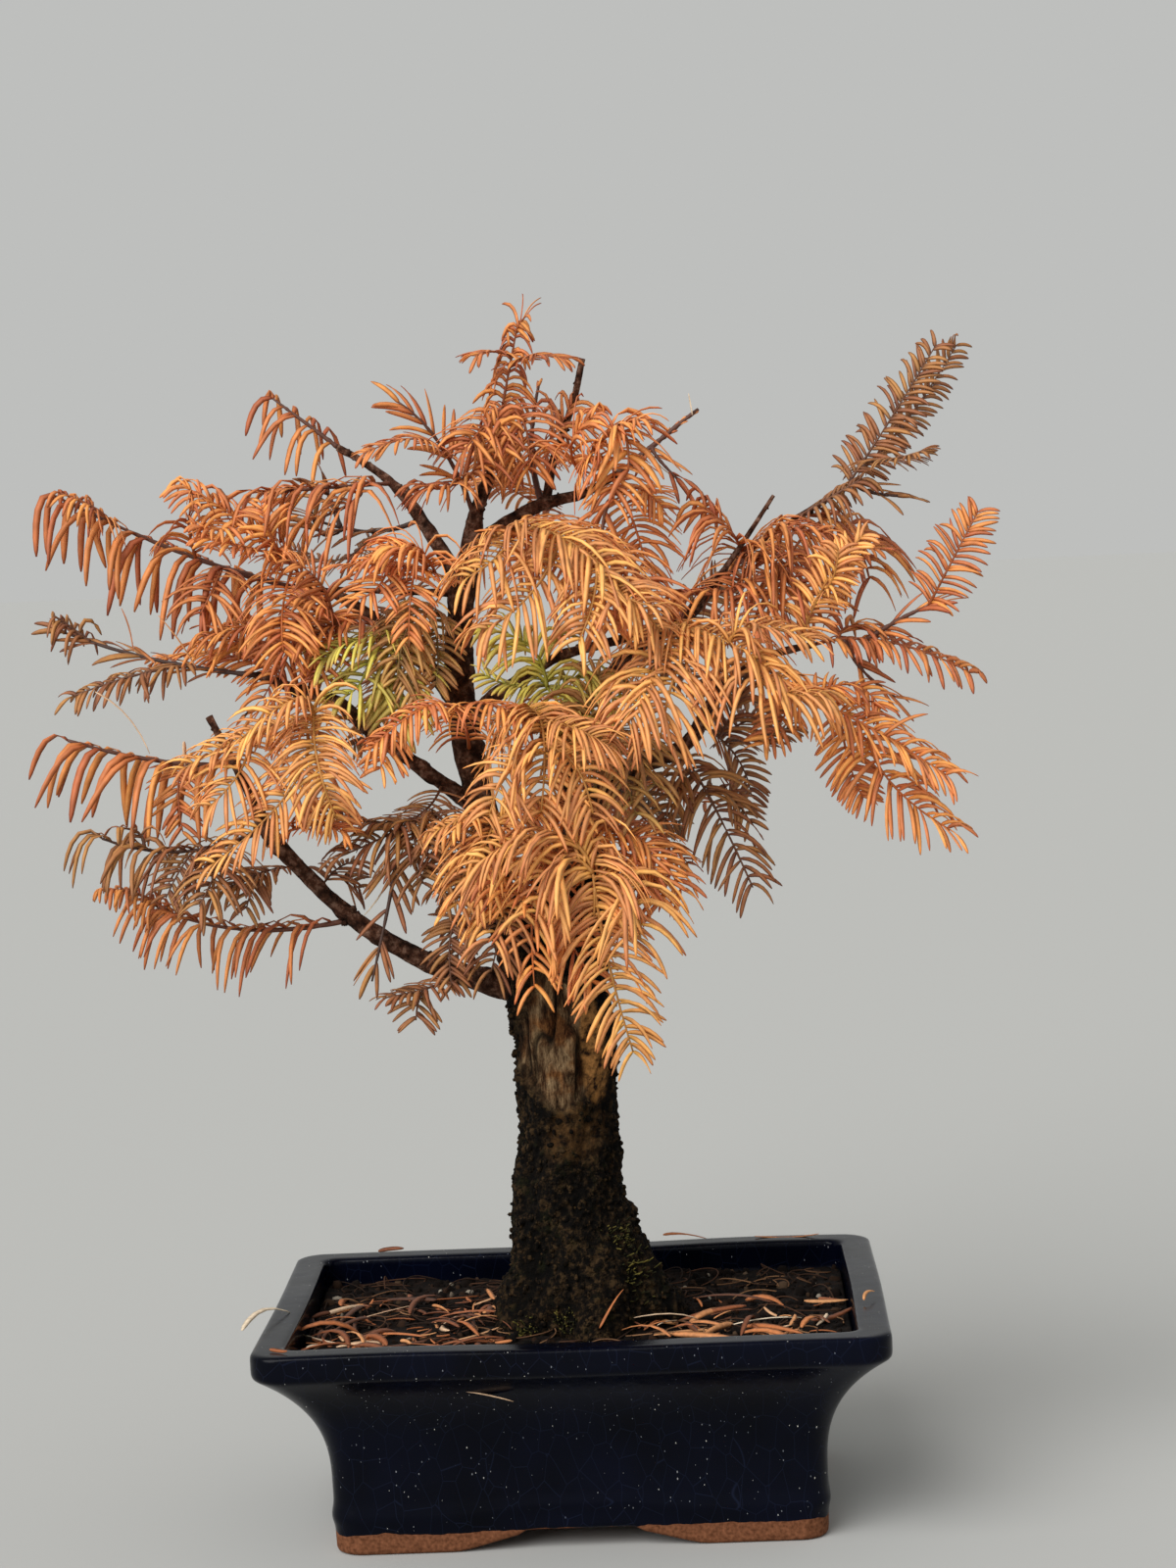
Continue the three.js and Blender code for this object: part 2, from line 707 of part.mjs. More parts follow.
function onSpine(spine, share) {
  const along = share * (spine.length - 1);
  const stretch = Math.min(Math.floor(along), spine.length - 2);
  return spine[stretch].clone().lerp(spine[stretch + 1], along - stretch);
}

// One leafy stem: the slim core, and pairs of needles that keep clear of every other node.
function leafyStem({ curve, kind, from, spine }, owner) {
  const length = curve.getLength() * (1 - from);
  const steps = spine.length - 1;
  const rings = spine.map((place, i) => {
    const tangent = curve.getTangent(from + ((1 - from) * i) / steps);
    const radius = kind.stem * (1 - (0.35 * i) / steps);
    return ringAcross(place, tangent, stemFacing(tangent, curve.v2), Array(4).fill(radius), Math.PI / 4);
  });
  const solids = [loft(rings)];
  const pairs = Math.max(2, Math.floor((length - 4) / kind.pitch));
  for (let pair = 0; pair <= pairs; pair++) {
    const share = (pair + 0.6) / (pairs + 0.8);
    const at = from + (1 - from) * share;
    const tangent = curve.getTangent(at);
    const { side } = across(tangent, stemFacing(tangent, curve.v2));
    for (const sign of [-1, 1]) {
      const chance = scatter(2 * pair + sign + 5 * owner.length);
      const lean = THREE.MathUtils.degToRad(kind.lean + 14 * (chance - 0.5) + 22 * share * share);
      const direction = side
        .clone()
        .multiplyScalar(sign * Math.cos(lean))
        .addScaledVector(tangent, Math.sin(lean));
      const size = kind.needle * lengthShare(share) * (0.92 + 0.16 * chance);
      for (const hang of [kind.hang, 0.5 * kind.hang, 1.6 * kind.hang, -0.2]) {
        const points = needleLine(onSpine(spine, share), direction, size, hang);
        if (!isClear(points.slice(1), 0.5 * kind.width, owner)) continue;
        if (!isClear(points, 0.6, owner)) continue;
        solids.push(needleSolid(points, kind.width, 0.5 * kind.stem, stemFacing(direction, curve.v2)));
        addRods(points, [0.6, 0.5 * kind.width, 0.5 * kind.width], owner);
        break;
      }
    }
  }
  return joined(solids);
}

// Works out every stem before the first needle, so that needles keep clear of all stems.
const sprays = Object.entries(SPRAYS).map(([name, [tone, ...rows]]) => {
  const stems = [];
  for (const [parent, at, halfway, tip, kind] of rows) {
    const isSide = typeof parent === "number";
    const base = isSide ? onSpine(stems[parent].spine, at) : limbs[parent].curve.getPoint(at);
    const curve = stemCurve(base, vec(halfway), vec(tip));
    const from = isSide ? 0 : leavesWoodAt(curve, kind.stem, name);
    stems.push({ curve, kind, from, spine: stemSpine(curve, from) });
  }
  return { name, tone, stems };
});
for (const { name, stems } of sprays) {
  for (const { kind, spine } of stems) addRods(spine, Array(spine.length).fill(kind.stem), name);
}

// Litter
// A fallen needle that lies flat between two places.
function fallenNeedle(from, to, z, width) {
  const start = new THREE.Vector3(...from, z);
  const end = new THREE.Vector3(...to, z);
  return needleSolid([start, start.clone().lerp(end, 0.5), end], width, 0, UP);
}

// A heap: a chain of needles, and shorter ones laid across it.
function litterHeap(places, z) {
  const solids = [];
  for (let i = 0; i + 1 < places.length; i++) {
    const [ax, ay] = places[i];
    const [bx, by] = places[i + 1];
    const alongX = (bx - ax) * 0.35;
    const alongY = (by - ay) * 0.35;
    solids.push(fallenNeedle([ax - alongX, ay - alongY], [bx + alongX, by + alongY], z, 2.2));
    const midX = (ax + bx) / 2;
    const midY = (ay + by) / 2;
    const turn = Math.PI * scatter(i + places.length);
    const reach = 6 + 4 * scatter(3 * i + 1);
    const offX = reach * Math.cos(turn);
    const offY = reach * Math.sin(turn);
    solids.push(fallenNeedle([midX - offX, midY - offY], [midX + offX, midY + offY], z, 1.8));
  }
  return joined(solids);
}

const LITTER_HEIGHT = SOIL_TOP + 0.7 + GAP + NEEDLE_THICKNESS / 2 + 0.1;
const RIM_LITTER_HEIGHT = POT_HEIGHT + GAP + NEEDLE_THICKNESS / 2;

// Scene graph
const bonsai = new THREE.Group();

// Slivers up to this high, which cuts leave behind, are closed up.
const SLIVER = 0.02;

function addPiece(name, solid, colour, roughness) {
  const shape = solid.simplify(SLIVER).getMesh();
  const geometry = new THREE.BufferGeometry()
    .setAttribute("position", new THREE.BufferAttribute(shape.vertProperties, 3))
    .setIndex(new THREE.BufferAttribute(shape.triVerts, 1));
  const material = new THREE.MeshStandardMaterial({ color: colour, roughness, metalness: 0 });
  const piece = new THREE.Mesh(geometry, material);
  piece.name = name;
  bonsai.add(piece);
}

addPiece("pot", pot(), "#1c2438", 0.15);
addPiece("soil", soil(), "#2b201a", 0.95);
addPiece("wood", wood(), "#33251e", 0.9);
for (const { name, tone, stems } of sprays) {
  addPiece(name, joined(stems.map((stem) => leafyStem(stem, name))), TONES[tone], 0.6);
}
for (const [name, places] of Object.entries(LITTER)) {
  addPiece(name, litterHeap(places, LITTER_HEIGHT), TONES.salmon, 0.7);
}
addPiece("rim_needle", litterHeap(RIM_NEEDLE, RIM_LITTER_HEIGHT), TONES.orange, 0.7);

// The whole stands on the floor with the middle of its box over the origin.
const box = new THREE.Box3().setFromObject(bonsai);
const centre = box.getCenter(new THREE.Vector3());
bonsai.position.set(-centre.x, -centre.y, -box.min.z);

export default bonsai;
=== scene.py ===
import math
from collections import namedtuple

import bpy
import numpy as np
from mathutils import Matrix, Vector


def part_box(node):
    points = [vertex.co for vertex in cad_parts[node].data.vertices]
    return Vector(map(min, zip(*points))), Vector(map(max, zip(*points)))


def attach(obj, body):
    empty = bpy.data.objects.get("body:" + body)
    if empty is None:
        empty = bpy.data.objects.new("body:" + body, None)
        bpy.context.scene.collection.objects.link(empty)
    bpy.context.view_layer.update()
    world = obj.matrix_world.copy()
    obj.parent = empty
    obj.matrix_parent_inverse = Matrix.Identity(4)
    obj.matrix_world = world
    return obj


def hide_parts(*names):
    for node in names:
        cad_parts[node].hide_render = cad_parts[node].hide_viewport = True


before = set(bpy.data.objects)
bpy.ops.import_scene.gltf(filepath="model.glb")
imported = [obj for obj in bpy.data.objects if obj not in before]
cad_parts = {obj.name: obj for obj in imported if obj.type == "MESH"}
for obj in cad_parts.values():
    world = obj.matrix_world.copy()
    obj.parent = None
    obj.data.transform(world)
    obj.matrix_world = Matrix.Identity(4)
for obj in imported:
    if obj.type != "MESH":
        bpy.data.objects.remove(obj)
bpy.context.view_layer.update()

# Camera
# A long lens about 1.1 m in front of the pot, a little above its rim, looking slightly down and held
# not quite level, as the photograph was taken.
MM = 0.001
pot_low, pot_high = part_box("pot")
POT_MIDDLE = np.array([(pot_low.x + pot_high.x) / 2, (pot_low.y + pot_high.y) / 2, 0])


def to_frame(points):
    """Places in millimetres from the middle of the pot's underside, as metres in the frame."""
    return np.asarray(points, float) * MM + POT_MIDDLE


CAMERA_PLACE = (47.3, -1132.1, 334.0)
CAMERA_TURN = math.radians(1.837)
CAMERA_DIP = math.radians(4.842)
CAMERA_ROLL = math.radians(-2.546)
SENSOR_HEIGHT = 36
LENS = 80.1

camera_data = bpy.data.cameras.new("camera")
camera_data.sensor_fit = "VERTICAL"
camera_data.sensor_height = SENSOR_HEIGHT
camera_data.lens = LENS
camera = bpy.data.objects.new("camera", camera_data)
bpy.context.scene.collection.objects.link(camera)
camera.matrix_world = (
    Matrix.Translation(to_frame(CAMERA_PLACE))
    @ Matrix.Rotation(CAMERA_TURN, 4, "Z")
    @ Matrix.Rotation(math.pi / 2 - CAMERA_DIP, 4, "X")
    @ Matrix.Rotation(CAMERA_ROLL, 4, "Z")
)
bpy.context.scene.camera = camera

# Pot
# A pressed stoneware bonsai pot: broad flat rim, short upright lip, hollow sides and four corner feet
# with a low arch between them. It was dipped in a cobalt glaze that stops in a wavy line above the feet.
POT_LENGTH = 200
POT_DEPTH = 150
POT_HEIGHT = 70
RIM_WIDTH = 10.5
WALL = 7
LIP_BOTTOM = 62
COVE_BOTTOM = 22
COVE_INSET = 21
FOOT_HEIGHT = 6.5
FOOT_WIDTH = 11
FLOOR_TOP = 15
CORNER_RADIUS = 9
DRAIN_RADIUS = 8
DRAIN_SPREAD = 38
BAND_HEIGHT = 12
BAND_REACH = 2.6
BAND_SWELL = 0.9
FOOT_DRAFT = 0.5
# Half the width of an arch's flat top and half its whole width, on the long and on the short sides
LONG_ARCH = (17, 39)
SHORT_ARCH = (12, 26)
WARP = 0.5


def linear(code):
    """The linear colour of an sRGB hex code."""
    parts = [int(code[i : i + 2], 16) / 255 for i in (1, 3, 5)]
    return [p / 12.92 if p <= 0.04045 else ((p + 0.055) / 1.055) ** 2.4 for p in parts] + [1]


def add_node(material, kind, inputs=(), stops=(), **settings):
    """A node of a kind, with its settings, its inputs set or linked, and a ramp's stops."""
    tree = material.node_tree
    made = tree.nodes.new("ShaderNode" + kind)
    for name, value in settings.items():
        setattr(made, name, value)
    for name, value in dict(inputs).items():
        if isinstance(value, bpy.types.NodeSocket):
            tree.links.new(value, made.inputs[name])
        else:
            made.inputs[name].default_value = value
    for index, (place, code) in enumerate(stops):
        if index < 2:
            made.color_ramp.elements[index].position = place
        else:
            made.color_ramp.elements.new(place)
        made.color_ramp.elements[index].color = linear(code)
    return made


def new_material(name, roughness, ior=1.5, bump=None):
    """A material with its shader and its Object coordinates, ready for a colour. A bump is the size of
    its noise in millimetres, the noise's detail, how strong it is and how deep in millimetres."""
    material = bpy.data.materials.new(name)
    material.use_nodes = True
    shader = material.node_tree.nodes["Principled BSDF"]
    shader.inputs["Roughness"].default_value = roughness
    shader.inputs["IOR"].default_value = ior
    place = add_node(material, "TexCoord").outputs["Object"]
    if bump:
        size, detail, strength, depth = bump
        lumps = {"Vector": place, "Scale": 1 / (size * MM), "Detail": detail}
        raised = {"Strength": strength, "Distance": depth * MM}
        raised["Height"] = add_node(material, "TexNoise", lumps).outputs["Fac"]
        relief = add_node(material, "Bump", raised)
        material.node_tree.links.new(relief.outputs["Normal"], shader.inputs["Normal"])
    return material, shader, place


def noise(points, size, seed=0):
    """Smooth random values from -1 to 1: random numbers at the corners of a lattice of that size in
    millimetres, blended between its corners by 3t^2 - 2t^3. Each seed gives its own numbers."""
    cells = np.asarray(points, float) / size
    low = np.floor(cells).astype(np.int64)
    blend = cells - low
    blend = blend * blend * (3 - 2 * blend)
    total = np.zeros(cells.shape[:-1])
    for corner in np.ndindex(2, 2, 2):
        at = low + corner
        mixed = at[..., 0] * 73856093 ^ at[..., 1] * 19349663 ^ at[..., 2] * 83492791
        mixed = (mixed ^ (seed * 2654435761)) & 0xFFFFFFFF
        mixed = (mixed ^ (mixed >> 15)) * 0x2C1B3C6D & 0xFFFFFFFF
        mixed = (mixed ^ (mixed >> 12)) * 0x297A2D39 & 0xFFFFFFFF
        value = (mixed ^ (mixed >> 15)) / 0x7FFFFFFF - 1
        total += value * np.prod(np.where(corner, blend, 1 - blend), axis=-1)
    return total


def ring_faces(count, rows, columns):
    """Quads and pole triangles of "count" stacks of rings, each stack's points given row by row and
    then its first and its last pole."""
    row = np.arange(rows - 1)[:, None] * columns
    here = np.arange(columns)
    after = (here + 1) % columns
    quads = np.stack([row + here, row + after, row + after + columns, row + here + columns], -1)
    last = (rows - 1) * columns
    start_pole = np.full(columns, rows * columns)
    starts = np.stack([start_pole, after, here], -1)
    ends = np.stack([start_pole + 1, last + here, last + after], -1)
    triangles = np.concatenate([starts, ends])
    shift = np.arange(count)[:, None, None] * (rows * columns + 2)
    quads = (quads.reshape(1, -1, 4) + shift).reshape(-1, 4)
    return quads, (triangles[None] + shift).reshape(-1, 3)


def make_piece(name, points, quads, triangles, material, **values):
    """A piece of the plant from points in the frame and its faces, with a named value at each point."""
    mesh = bpy.data.meshes.new(name)
    mesh.vertices.add(len(points))
    mesh.vertices.foreach_set("co", np.asarray(points, np.float32).ravel())
    corners = np.concatenate([quads.ravel(), triangles.ravel()]).astype(np.int32)
    mesh.loops.add(len(corners))
    mesh.loops.foreach_set("vertex_index", corners)
    starts = np.concatenate([np.arange(len(quads)) * 4, quads.size + np.arange(len(triangles)) * 3])
    mesh.polygons.add(len(starts))
    mesh.polygons.foreach_set("loop_start", starts.astype(np.int32))
    mesh.polygons.foreach_set("use_smooth", np.ones(len(starts), bool))
    mesh.update(calc_edges=True)
    for key, value in values.items():
        mesh.attributes.new(key, "FLOAT", "POINT").data.foreach_set("value", value.astype(np.float32))
    mesh.materials.append(material)
    piece = bpy.data.objects.new(name, mesh)
    bpy.context.scene.collection.objects.link(piece)
    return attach(piece, "root")


# A rounded rectangle: for each point round it, the corner of the square that it belongs to and its
# outward direction. A point is corner x (half size - corner radius) + direction x corner radius.
CORNER_STEPS = 8
SIDE_STEPS = (48, 36, 48, 36)
SQUARE = np.array([(1, 1), (-1, 1), (-1, -1), (1, -1)], float)
corner_parts = []
direction_parts = []
for quarter, steps in enumerate(SIDE_STEPS):
    arc = np.pi / 2 * (quarter + np.arange(CORNER_STEPS) / CORNER_STEPS)
    corner_parts.append(np.repeat(SQUARE[quarter][None], CORNER_STEPS, 0))
    direction_parts.append(np.stack([np.cos(arc), np.sin(arc)], -1))
    along = np.arange(steps)[:, None] / steps
    corner_parts.append(SQUARE[quarter] * (1 - along) + SQUARE[(quarter + 1) % 4] * along)
    straight = np.pi / 2 * (quarter + 1)
    direction_parts.append(np.repeat([[np.cos(straight), np.sin(straight)]], steps, 0))
RECTANGLE_CORNERS = np.concatenate(corner_parts)
RECTANGLE_DIRECTIONS = np.concatenate(direction_parts)
FACES_FRONT = np.abs(RECTANGLE_DIRECTIONS[:, 1]) > np.abs(RECTANGLE_DIRECTIONS[:, 0])


def pot_rings(insets, heights, radii, shares):
    """Rings of the pot's outline, each moved in by its inset, at its height, with its corner radius,
    and drawn together to its share of that size: rows by columns by x, y and z."""
    insets, heights, radii, shares = (
        np.asarray(part, float)[:, None, None]
        for part in np.broadcast_arrays(insets, heights, radii, shares)
    )
    half = np.array([POT_LENGTH, POT_DEPTH]) / 2 - insets - radii
    flat = (RECTANGLE_CORNERS * half + RECTANGLE_DIRECTIONS * radii) * shares
    return np.concatenate([flat, np.broadcast_to(heights, flat.shape[:2] + (1,))], -1)


def outer_inset(z):
    """How far the outside stands in from the rim: nothing on the lip, and below it 21 (1 - u^2.5),
    where u rises from 0 at the foot of the hollow to 1 at the lip. A soft band swells above the feet."""
    u = np.clip((z - COVE_BOTTOM) / (LIP_BOTTOM - COVE_BOTTOM), 0, 1)
    low = np.clip(1 - z / COVE_BOTTOM, 0, 1)
    band = BAND_SWELL * np.exp(-(((z - BAND_HEIGHT) / BAND_REACH) ** 2))
    return np.where(z < LIP_BOTTOM, COVE_INSET * (1 - u**2.5) + FOOT_DRAFT * low - band, 0)


def inner_inset(z):
    """The wall's thickness behind the outside, and never less than the rim's width."""
    return np.maximum(RIM_WIDTH, outer_inset(z) + WALL)


def foot_edge(across, top, bottom):
    """Height of a foot's lower edge: 0 under the corners, then a low curl up to the flat arch."""
    return np.interp(
        np.abs(across), [top, 1.15 * top, 0.9 * bottom, bottom], [FOOT_HEIGHT, 0.75 * FOOT_HEIGHT, 0.8, 0]
    )


def rounded(profile, step, passes):
    """A profile resampled at even steps and its corners rounded, each point averaged with its
    neighbours a few times."""
    lengths = np.linalg.norm(np.diff(profile[:, :2], axis=0), axis=1)
    travelled = np.concatenate([[0], np.cumsum(lengths)])
    even = np.linspace(0, travelled[-1], int(travelled[-1] / step))
    line = np.stack([np.interp(even, travelled, column) for column in profile.T], -1)
    for _ in range(passes):
        line[1:-1] = (line[:-2] + 2 * line[1:-1] + line[2:]) / 4
    return line


# The profile from the inner edge of a foot, round the outside and the rim, down to the floor: inset,
# height, how much the foot's edge lifts it, and the corner radius
FOOT_INSET = COVE_INSET + FOOT_WIDTH
INNER_RADIUS = CORNER_RADIUS - 4
profile = [(FOOT_INSET, FOOT_HEIGHT, 0, INNER_RADIUS), (FOOT_INSET, 0, 1, INNER_RADIUS)]
for z in np.linspace(0, LIP_BOTTOM, 60):
    profile.append((outer_inset(z), z, max(0, 1 - z / COVE_BOTTOM), CORNER_RADIUS))
profile += [(0, LIP_BOTTOM + 0.1, 0, CORNER_RADIUS), (0, POT_HEIGHT, 0, CORNER_RADIUS)]
for z in np.linspace(POT_HEIGHT, FLOOR_TOP, 30):
    profile.append((inner_inset(z), z, 0, INNER_RADIUS))
profile = rounded(np.array(profile), step=0.9, passes=3)
to_middle = np.array([1, 0.8, 0.5, 0.2])
pot_rows = np.concatenate(
    [
        pot_rings(FOOT_INSET, FOOT_HEIGHT, INNER_RADIUS, to_middle[::-1]),
        pot_rings(*profile[:, [0, 1, 3]].T, 1),
        pot_rings(profile[-1, 0], FLOOR_TOP, INNER_RADIUS, to_middle),
    ]
)
lift = np.pad(profile[:, 2], 4)[:, None]
pot_rows[..., 2] += lift * np.where(
    FACES_FRONT, foot_edge(pot_rows[..., 0], *LONG_ARCH), foot_edge(pot_rows[..., 1], *SHORT_ARCH)
)
# The kiln has warped it a little, most of all the rim
warp = np.stack([noise(pot_rows, 70, 1), noise(pot_rows, 70, 2), noise(pot_rows, 60, 3)], -1)
pot_rows += WARP * warp * pot_rows[..., 2:] / POT_HEIGHT
pot_points = np.concatenate([pot_rows.reshape(-1, 3), [(0, 0, FOOT_HEIGHT), (0, 0, FLOOR_TOP)]])


def unit(vectors):
    """The same vectors with length 1."""
    return vectors / (np.linalg.norm(vectors, axis=-1, keepdims=True) + 1e-12)


def sweep(paths, across, half_width, half_depth, sides):
    """An oval section carried along each path, closed on the path's two end points. A point is
    path + half width x cos(a) x across + half depth x sin(a) x depth, where depth stands on both the
    path and across. Paths are count by rows by x, y and z, and across is that or one direction."""
    run = unit(np.gradient(paths, axis=1))
    across = np.asarray(across, float)
    across = unit(across - (across * run).sum(-1, keepdims=True) * run)
    depth = np.cross(run, across)
    angle = 2 * np.pi * np.arange(sides) / sides
    wide = (half_width * np.cos(angle))[..., None]
    deep = (half_depth * np.sin(angle))[..., None]
    rings = paths[:, :, None] + wide * across[:, :, None] + deep * depth[:, :, None]
    count = len(paths)
    points = np.concatenate([rings.reshape(count, -1, 3), paths[:, :1], paths[:, -1:]], 1)
    return points.reshape(-1, 3), ring_faces(count, paths.shape[1], sides)


# The glaze: cobalt stoneware glaze, glassy and almost black where it is thick, finely crazed from top
# to bottom, flecked with grit that the firing left. The bare clay of the feet is a dull red-brown.
glaze, shader, place = new_material(
    "cobalt_glaze_on_stoneware", roughness=0.14, ior=1.19, bump=(6, 3, 0.25, 0.4)
)
height = add_node(glaze, "SeparateXYZ", {"Vector": place}).outputs["Z"]
wavy = add_node(glaze, "TexNoise", {"Vector": place, "Scale": 1 / (9 * MM)}).outputs["Fac"]
ragged = add_node(glaze, "Math", {0: wavy, 1: 3.0 * MM, 2: 5.2 * MM}, operation="MULTIPLY_ADD")
bare = add_node(glaze, "Math", {0: height, 1: ragged.outputs[0]}, operation="LESS_THAN").outputs[0]
cloud = add_node(glaze, "TexNoise", {"Vector": place, "Scale": 1 / (30 * MM), "Detail": 4}).outputs["Fac"]
thickness = add_node(
    glaze, "ValToRGB", {"Fac": cloud}, stops=[(0.3, "#020309"), (0.7, "#040716")]
).outputs["Color"]
drawn_up = add_node(glaze, "Mapping", {"Vector": place, "Scale": (1, 1, 0.55)}).outputs["Vector"]
craze_edge = add_node(
    glaze, "TexVoronoi", {"Vector": drawn_up, "Scale": 1 / (6 * MM)}, feature="DISTANCE_TO_EDGE"
).outputs["Distance"]
craze = add_node(
    glaze, "ValToRGB", {"Fac": craze_edge}, stops=[(0.0, "#20283e"), (0.016, "#000000")]
).outputs["Color"]
crazed = add_node(
    glaze, "MixRGB", {"Fac": 0.3, "Color1": thickness, "Color2": craze}, blend_type="ADD"
).outputs["Color"]
# Flecks, drawn about as large as they are: up to 0.4 mm across, and most of them far smaller
cells = add_node(glaze, "TexVoronoi", {"Vector": drawn_up, "Scale": 1 / (1.2 * MM)})
chances = add_node(glaze, "SeparateColor", {"Color": cells.outputs["Color"]})
small_mostly = add_node(glaze, "Math", {0: chances.outputs["Red"], 1: 3}, operation="POWER").outputs[0]
reach = add_node(glaze, "Math", {0: small_mostly, 1: 0.17}, operation="MULTIPLY").outputs[0]
fleck = add_node(glaze, "Math", {0: cells.outputs["Distance"], 1: reach}, operation="LESS_THAN").outputs[0]
fleck_colour = add_node(
    glaze,
    "ValToRGB",
    {"Fac": chances.outputs["Green"]},
    stops=[(0.0, "#3a4152"), (0.7, "#7d7f82"), (1.0, "#d8d4c8")],
).outputs["Color"]
flecked = add_node(
    glaze, "MixRGB", {"Fac": fleck, "Color1": crazed, "Color2": fleck_colour}
).outputs["Color"]
clay_grain = add_node(
    glaze, "TexNoise", {"Vector": place, "Scale": 1 / (1.2 * MM), "Detail": 3}
).outputs["Fac"]
clay = add_node(
    glaze, "ValToRGB", {"Fac": clay_grain}, stops=[(0.3, "#54321f"), (0.75, "#83543a")]
).outputs["Color"]
colour = add_node(glaze, "MixRGB", {"Fac": bare, "Color1": flecked, "Color2": clay}).outputs["Color"]
glaze.node_tree.links.new(colour, shader.inputs["Base Color"])
wiped = add_node(glaze, "TexNoise", {"Vector": place, "Scale": 1 / (18 * MM), "Detail": 3}).outputs["Fac"]
smear = add_node(glaze, "MapRange", {"Value": wiped, "To Min": 0.07, "To Max": 0.3}).outputs["Result"]
rough = add_node(glaze, "MixRGB", {"Fac": bare, "Color1": smear, "Color2": (0.9, 0.9, 0.9, 1)})
glaze.node_tree.links.new(rough.outputs["Color"], shader.inputs["Roughness"])

pot = make_piece("pot_glazed", to_frame(pot_points), *ring_faces(1, *pot_rows.shape[:2]), glaze)
drills = []
for side in (-1, 1):
    axis = np.array([[(side * DRAIN_SPREAD, 0, z) for z in (-2, 0, FLOOR_TOP, FLOOR_TOP + 3)]], float)
    points, faces = sweep(axis, (1, 0, 0), DRAIN_RADIUS, DRAIN_RADIUS, 32)
    drills.append(make_piece(f"drill{side}", to_frame(points), *faces, glaze))
    drilled = pot.modifiers.new("drain", "BOOLEAN")
    drilled.object = drills[-1]
    drilled.solver = "EXACT"
pot.data = bpy.data.meshes.new_from_object(pot.evaluated_get(bpy.context.evaluated_depsgraph_get()))
pot.modifiers.clear()
for drill in drills:
    bpy.data.objects.remove(drill)
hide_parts("pot")

# Soil
# A dark crumbly potting mix of peat and composted bark, filled to a finger's breadth below the rim,
# with coarse crumbs, pale specks of grit and fine dead roots on top.
SOIL_TOP = 61
SOIL_BOTTOM = FLOOR_TOP + 0.35
SOIL_GAP = 0.5
CRUMB_COUNT = 1900
ROOT_COUNT = 190
ROOT_RADIUS = 0.25
rng = np.random.default_rng(5)


def soil_height(x, y):
    """Height of the soil's surface: low swells 0.7 mm high."""
    return SOIL_TOP + 0.7 * np.sin(x / 11 + 1) * np.cos(y / 9 + x / 30)


wall_heights = np.linspace(SOIL_BOTTOM, SOIL_TOP - 1.5, 12)
wall_rows = pot_rings(inner_inset(wall_heights) + SOIL_GAP, wall_heights, INNER_RADIUS, 1)
top_shares = np.linspace(0.995, 0.02, 60)
top_rows = pot_rings(inner_inset(SOIL_TOP) + SOIL_GAP, SOIL_TOP, INNER_RADIUS, top_shares)
crumble = 0.9 * noise(top_rows, 7, 11) + 0.6 * noise(top_rows, 2.5, 12) + 0.3 * noise(top_rows, 1.2, 13)
top_rows[..., 2] = soil_height(top_rows[..., 0], top_rows[..., 1]) + crumble
soil_rows = np.concatenate([wall_rows, top_rows])
soil_points = np.concatenate([soil_rows.reshape(-1, 3), [(0, 0, SOIL_BOTTOM), (0, 0, SOIL_TOP)]])

# Moist peat: almost black, with brown fibres, and no shine
peat, shader, place = new_material(
    "moist_peat_and_bark_compost", roughness=1.0, ior=1.25, bump=(0.9, 4, 0.9, 0.5)
)
peat_lumps = add_node(
    peat, "TexNoise", {"Vector": place, "Scale": 1 / (3.5 * MM), "Detail": 6, "Roughness": 0.65}
).outputs["Fac"]
colour = add_node(
    peat,
    "ValToRGB",
    {"Fac": peat_lumps},
    stops=[(0.3, "#060403"), (0.52, "#130c08"), (0.7, "#2a1b12")],
).outputs["Color"]
peat.node_tree.links.new(colour, shader.inputs["Base Color"])
soil = make_piece("soil_bed", to_frame(soil_points), *ring_faces(1, *soil_rows.shape[:2]), peat)
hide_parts("soil")


def on_soil(count, clear_of_trunk=27):
    """Random places on the soil between the trunk and the walls, x, y and z in millimetres."""
    half = np.array([POT_LENGTH, POT_DEPTH]) / 2 - inner_inset(SOIL_TOP) - 2
    spots = rng.uniform(-half, half, (4 * count, 2))
    spots = spots[np.hypot(spots[:, 0] - 3, spots[:, 1]) > clear_of_trunk][:count]
    return np.column_stack([spots, soil_height(spots[:, 0], spots[:, 1])])


def crumbs(spots, sizes):
    """Rough lumps at given places: each a ball of 3 rings of 6 points, every point moved in or out by
    up to a quarter of its radius."""
    rows, columns = 3, 6
    up = np.pi * (np.arange(rows) + 0.7) / (rows + 0.4)
    turn = 2 * np.pi * np.arange(columns) / columns
    flat = np.sin(up)[:, None]
    ring_height = np.broadcast_to(-np.cos(up)[:, None], (rows, columns))
    ball = np.stack([flat * np.cos(turn), flat * np.sin(turn), ring_height], -1).reshape(-1, 3)
    ball = np.concatenate([ball, [(0, 0, -1), (0, 0, 1)]])
    squeeze = rng.uniform(0.6, 1.25, (len(spots), 1, 3))
    rough = rng.uniform(0.75, 1.2, (len(spots), len(ball), 1))
    points = spots[:, None] + ball * squeeze * rough * sizes[:, None, None]
    return points.reshape(-1, 3), ring_faces(len(spots), rows, columns)


def lump_chances(count, points, lowest=0.0):
    """One random value up to 1 for each of "count" lumps of equal size, at each point of theirs."""
    return np.repeat(rng.uniform(lowest, 1, count), len(points) // count)


def colour_by_chance(material, stops):
    """A colour that differs from lump to lump, by the chance that each has."""
    chance = add_node(material, "Attribute", attribute_name="chance").outputs["Fac"]
    return add_node(material, "ValToRGB", {"Fac": chance}, stops=stops).outputs["Color"]


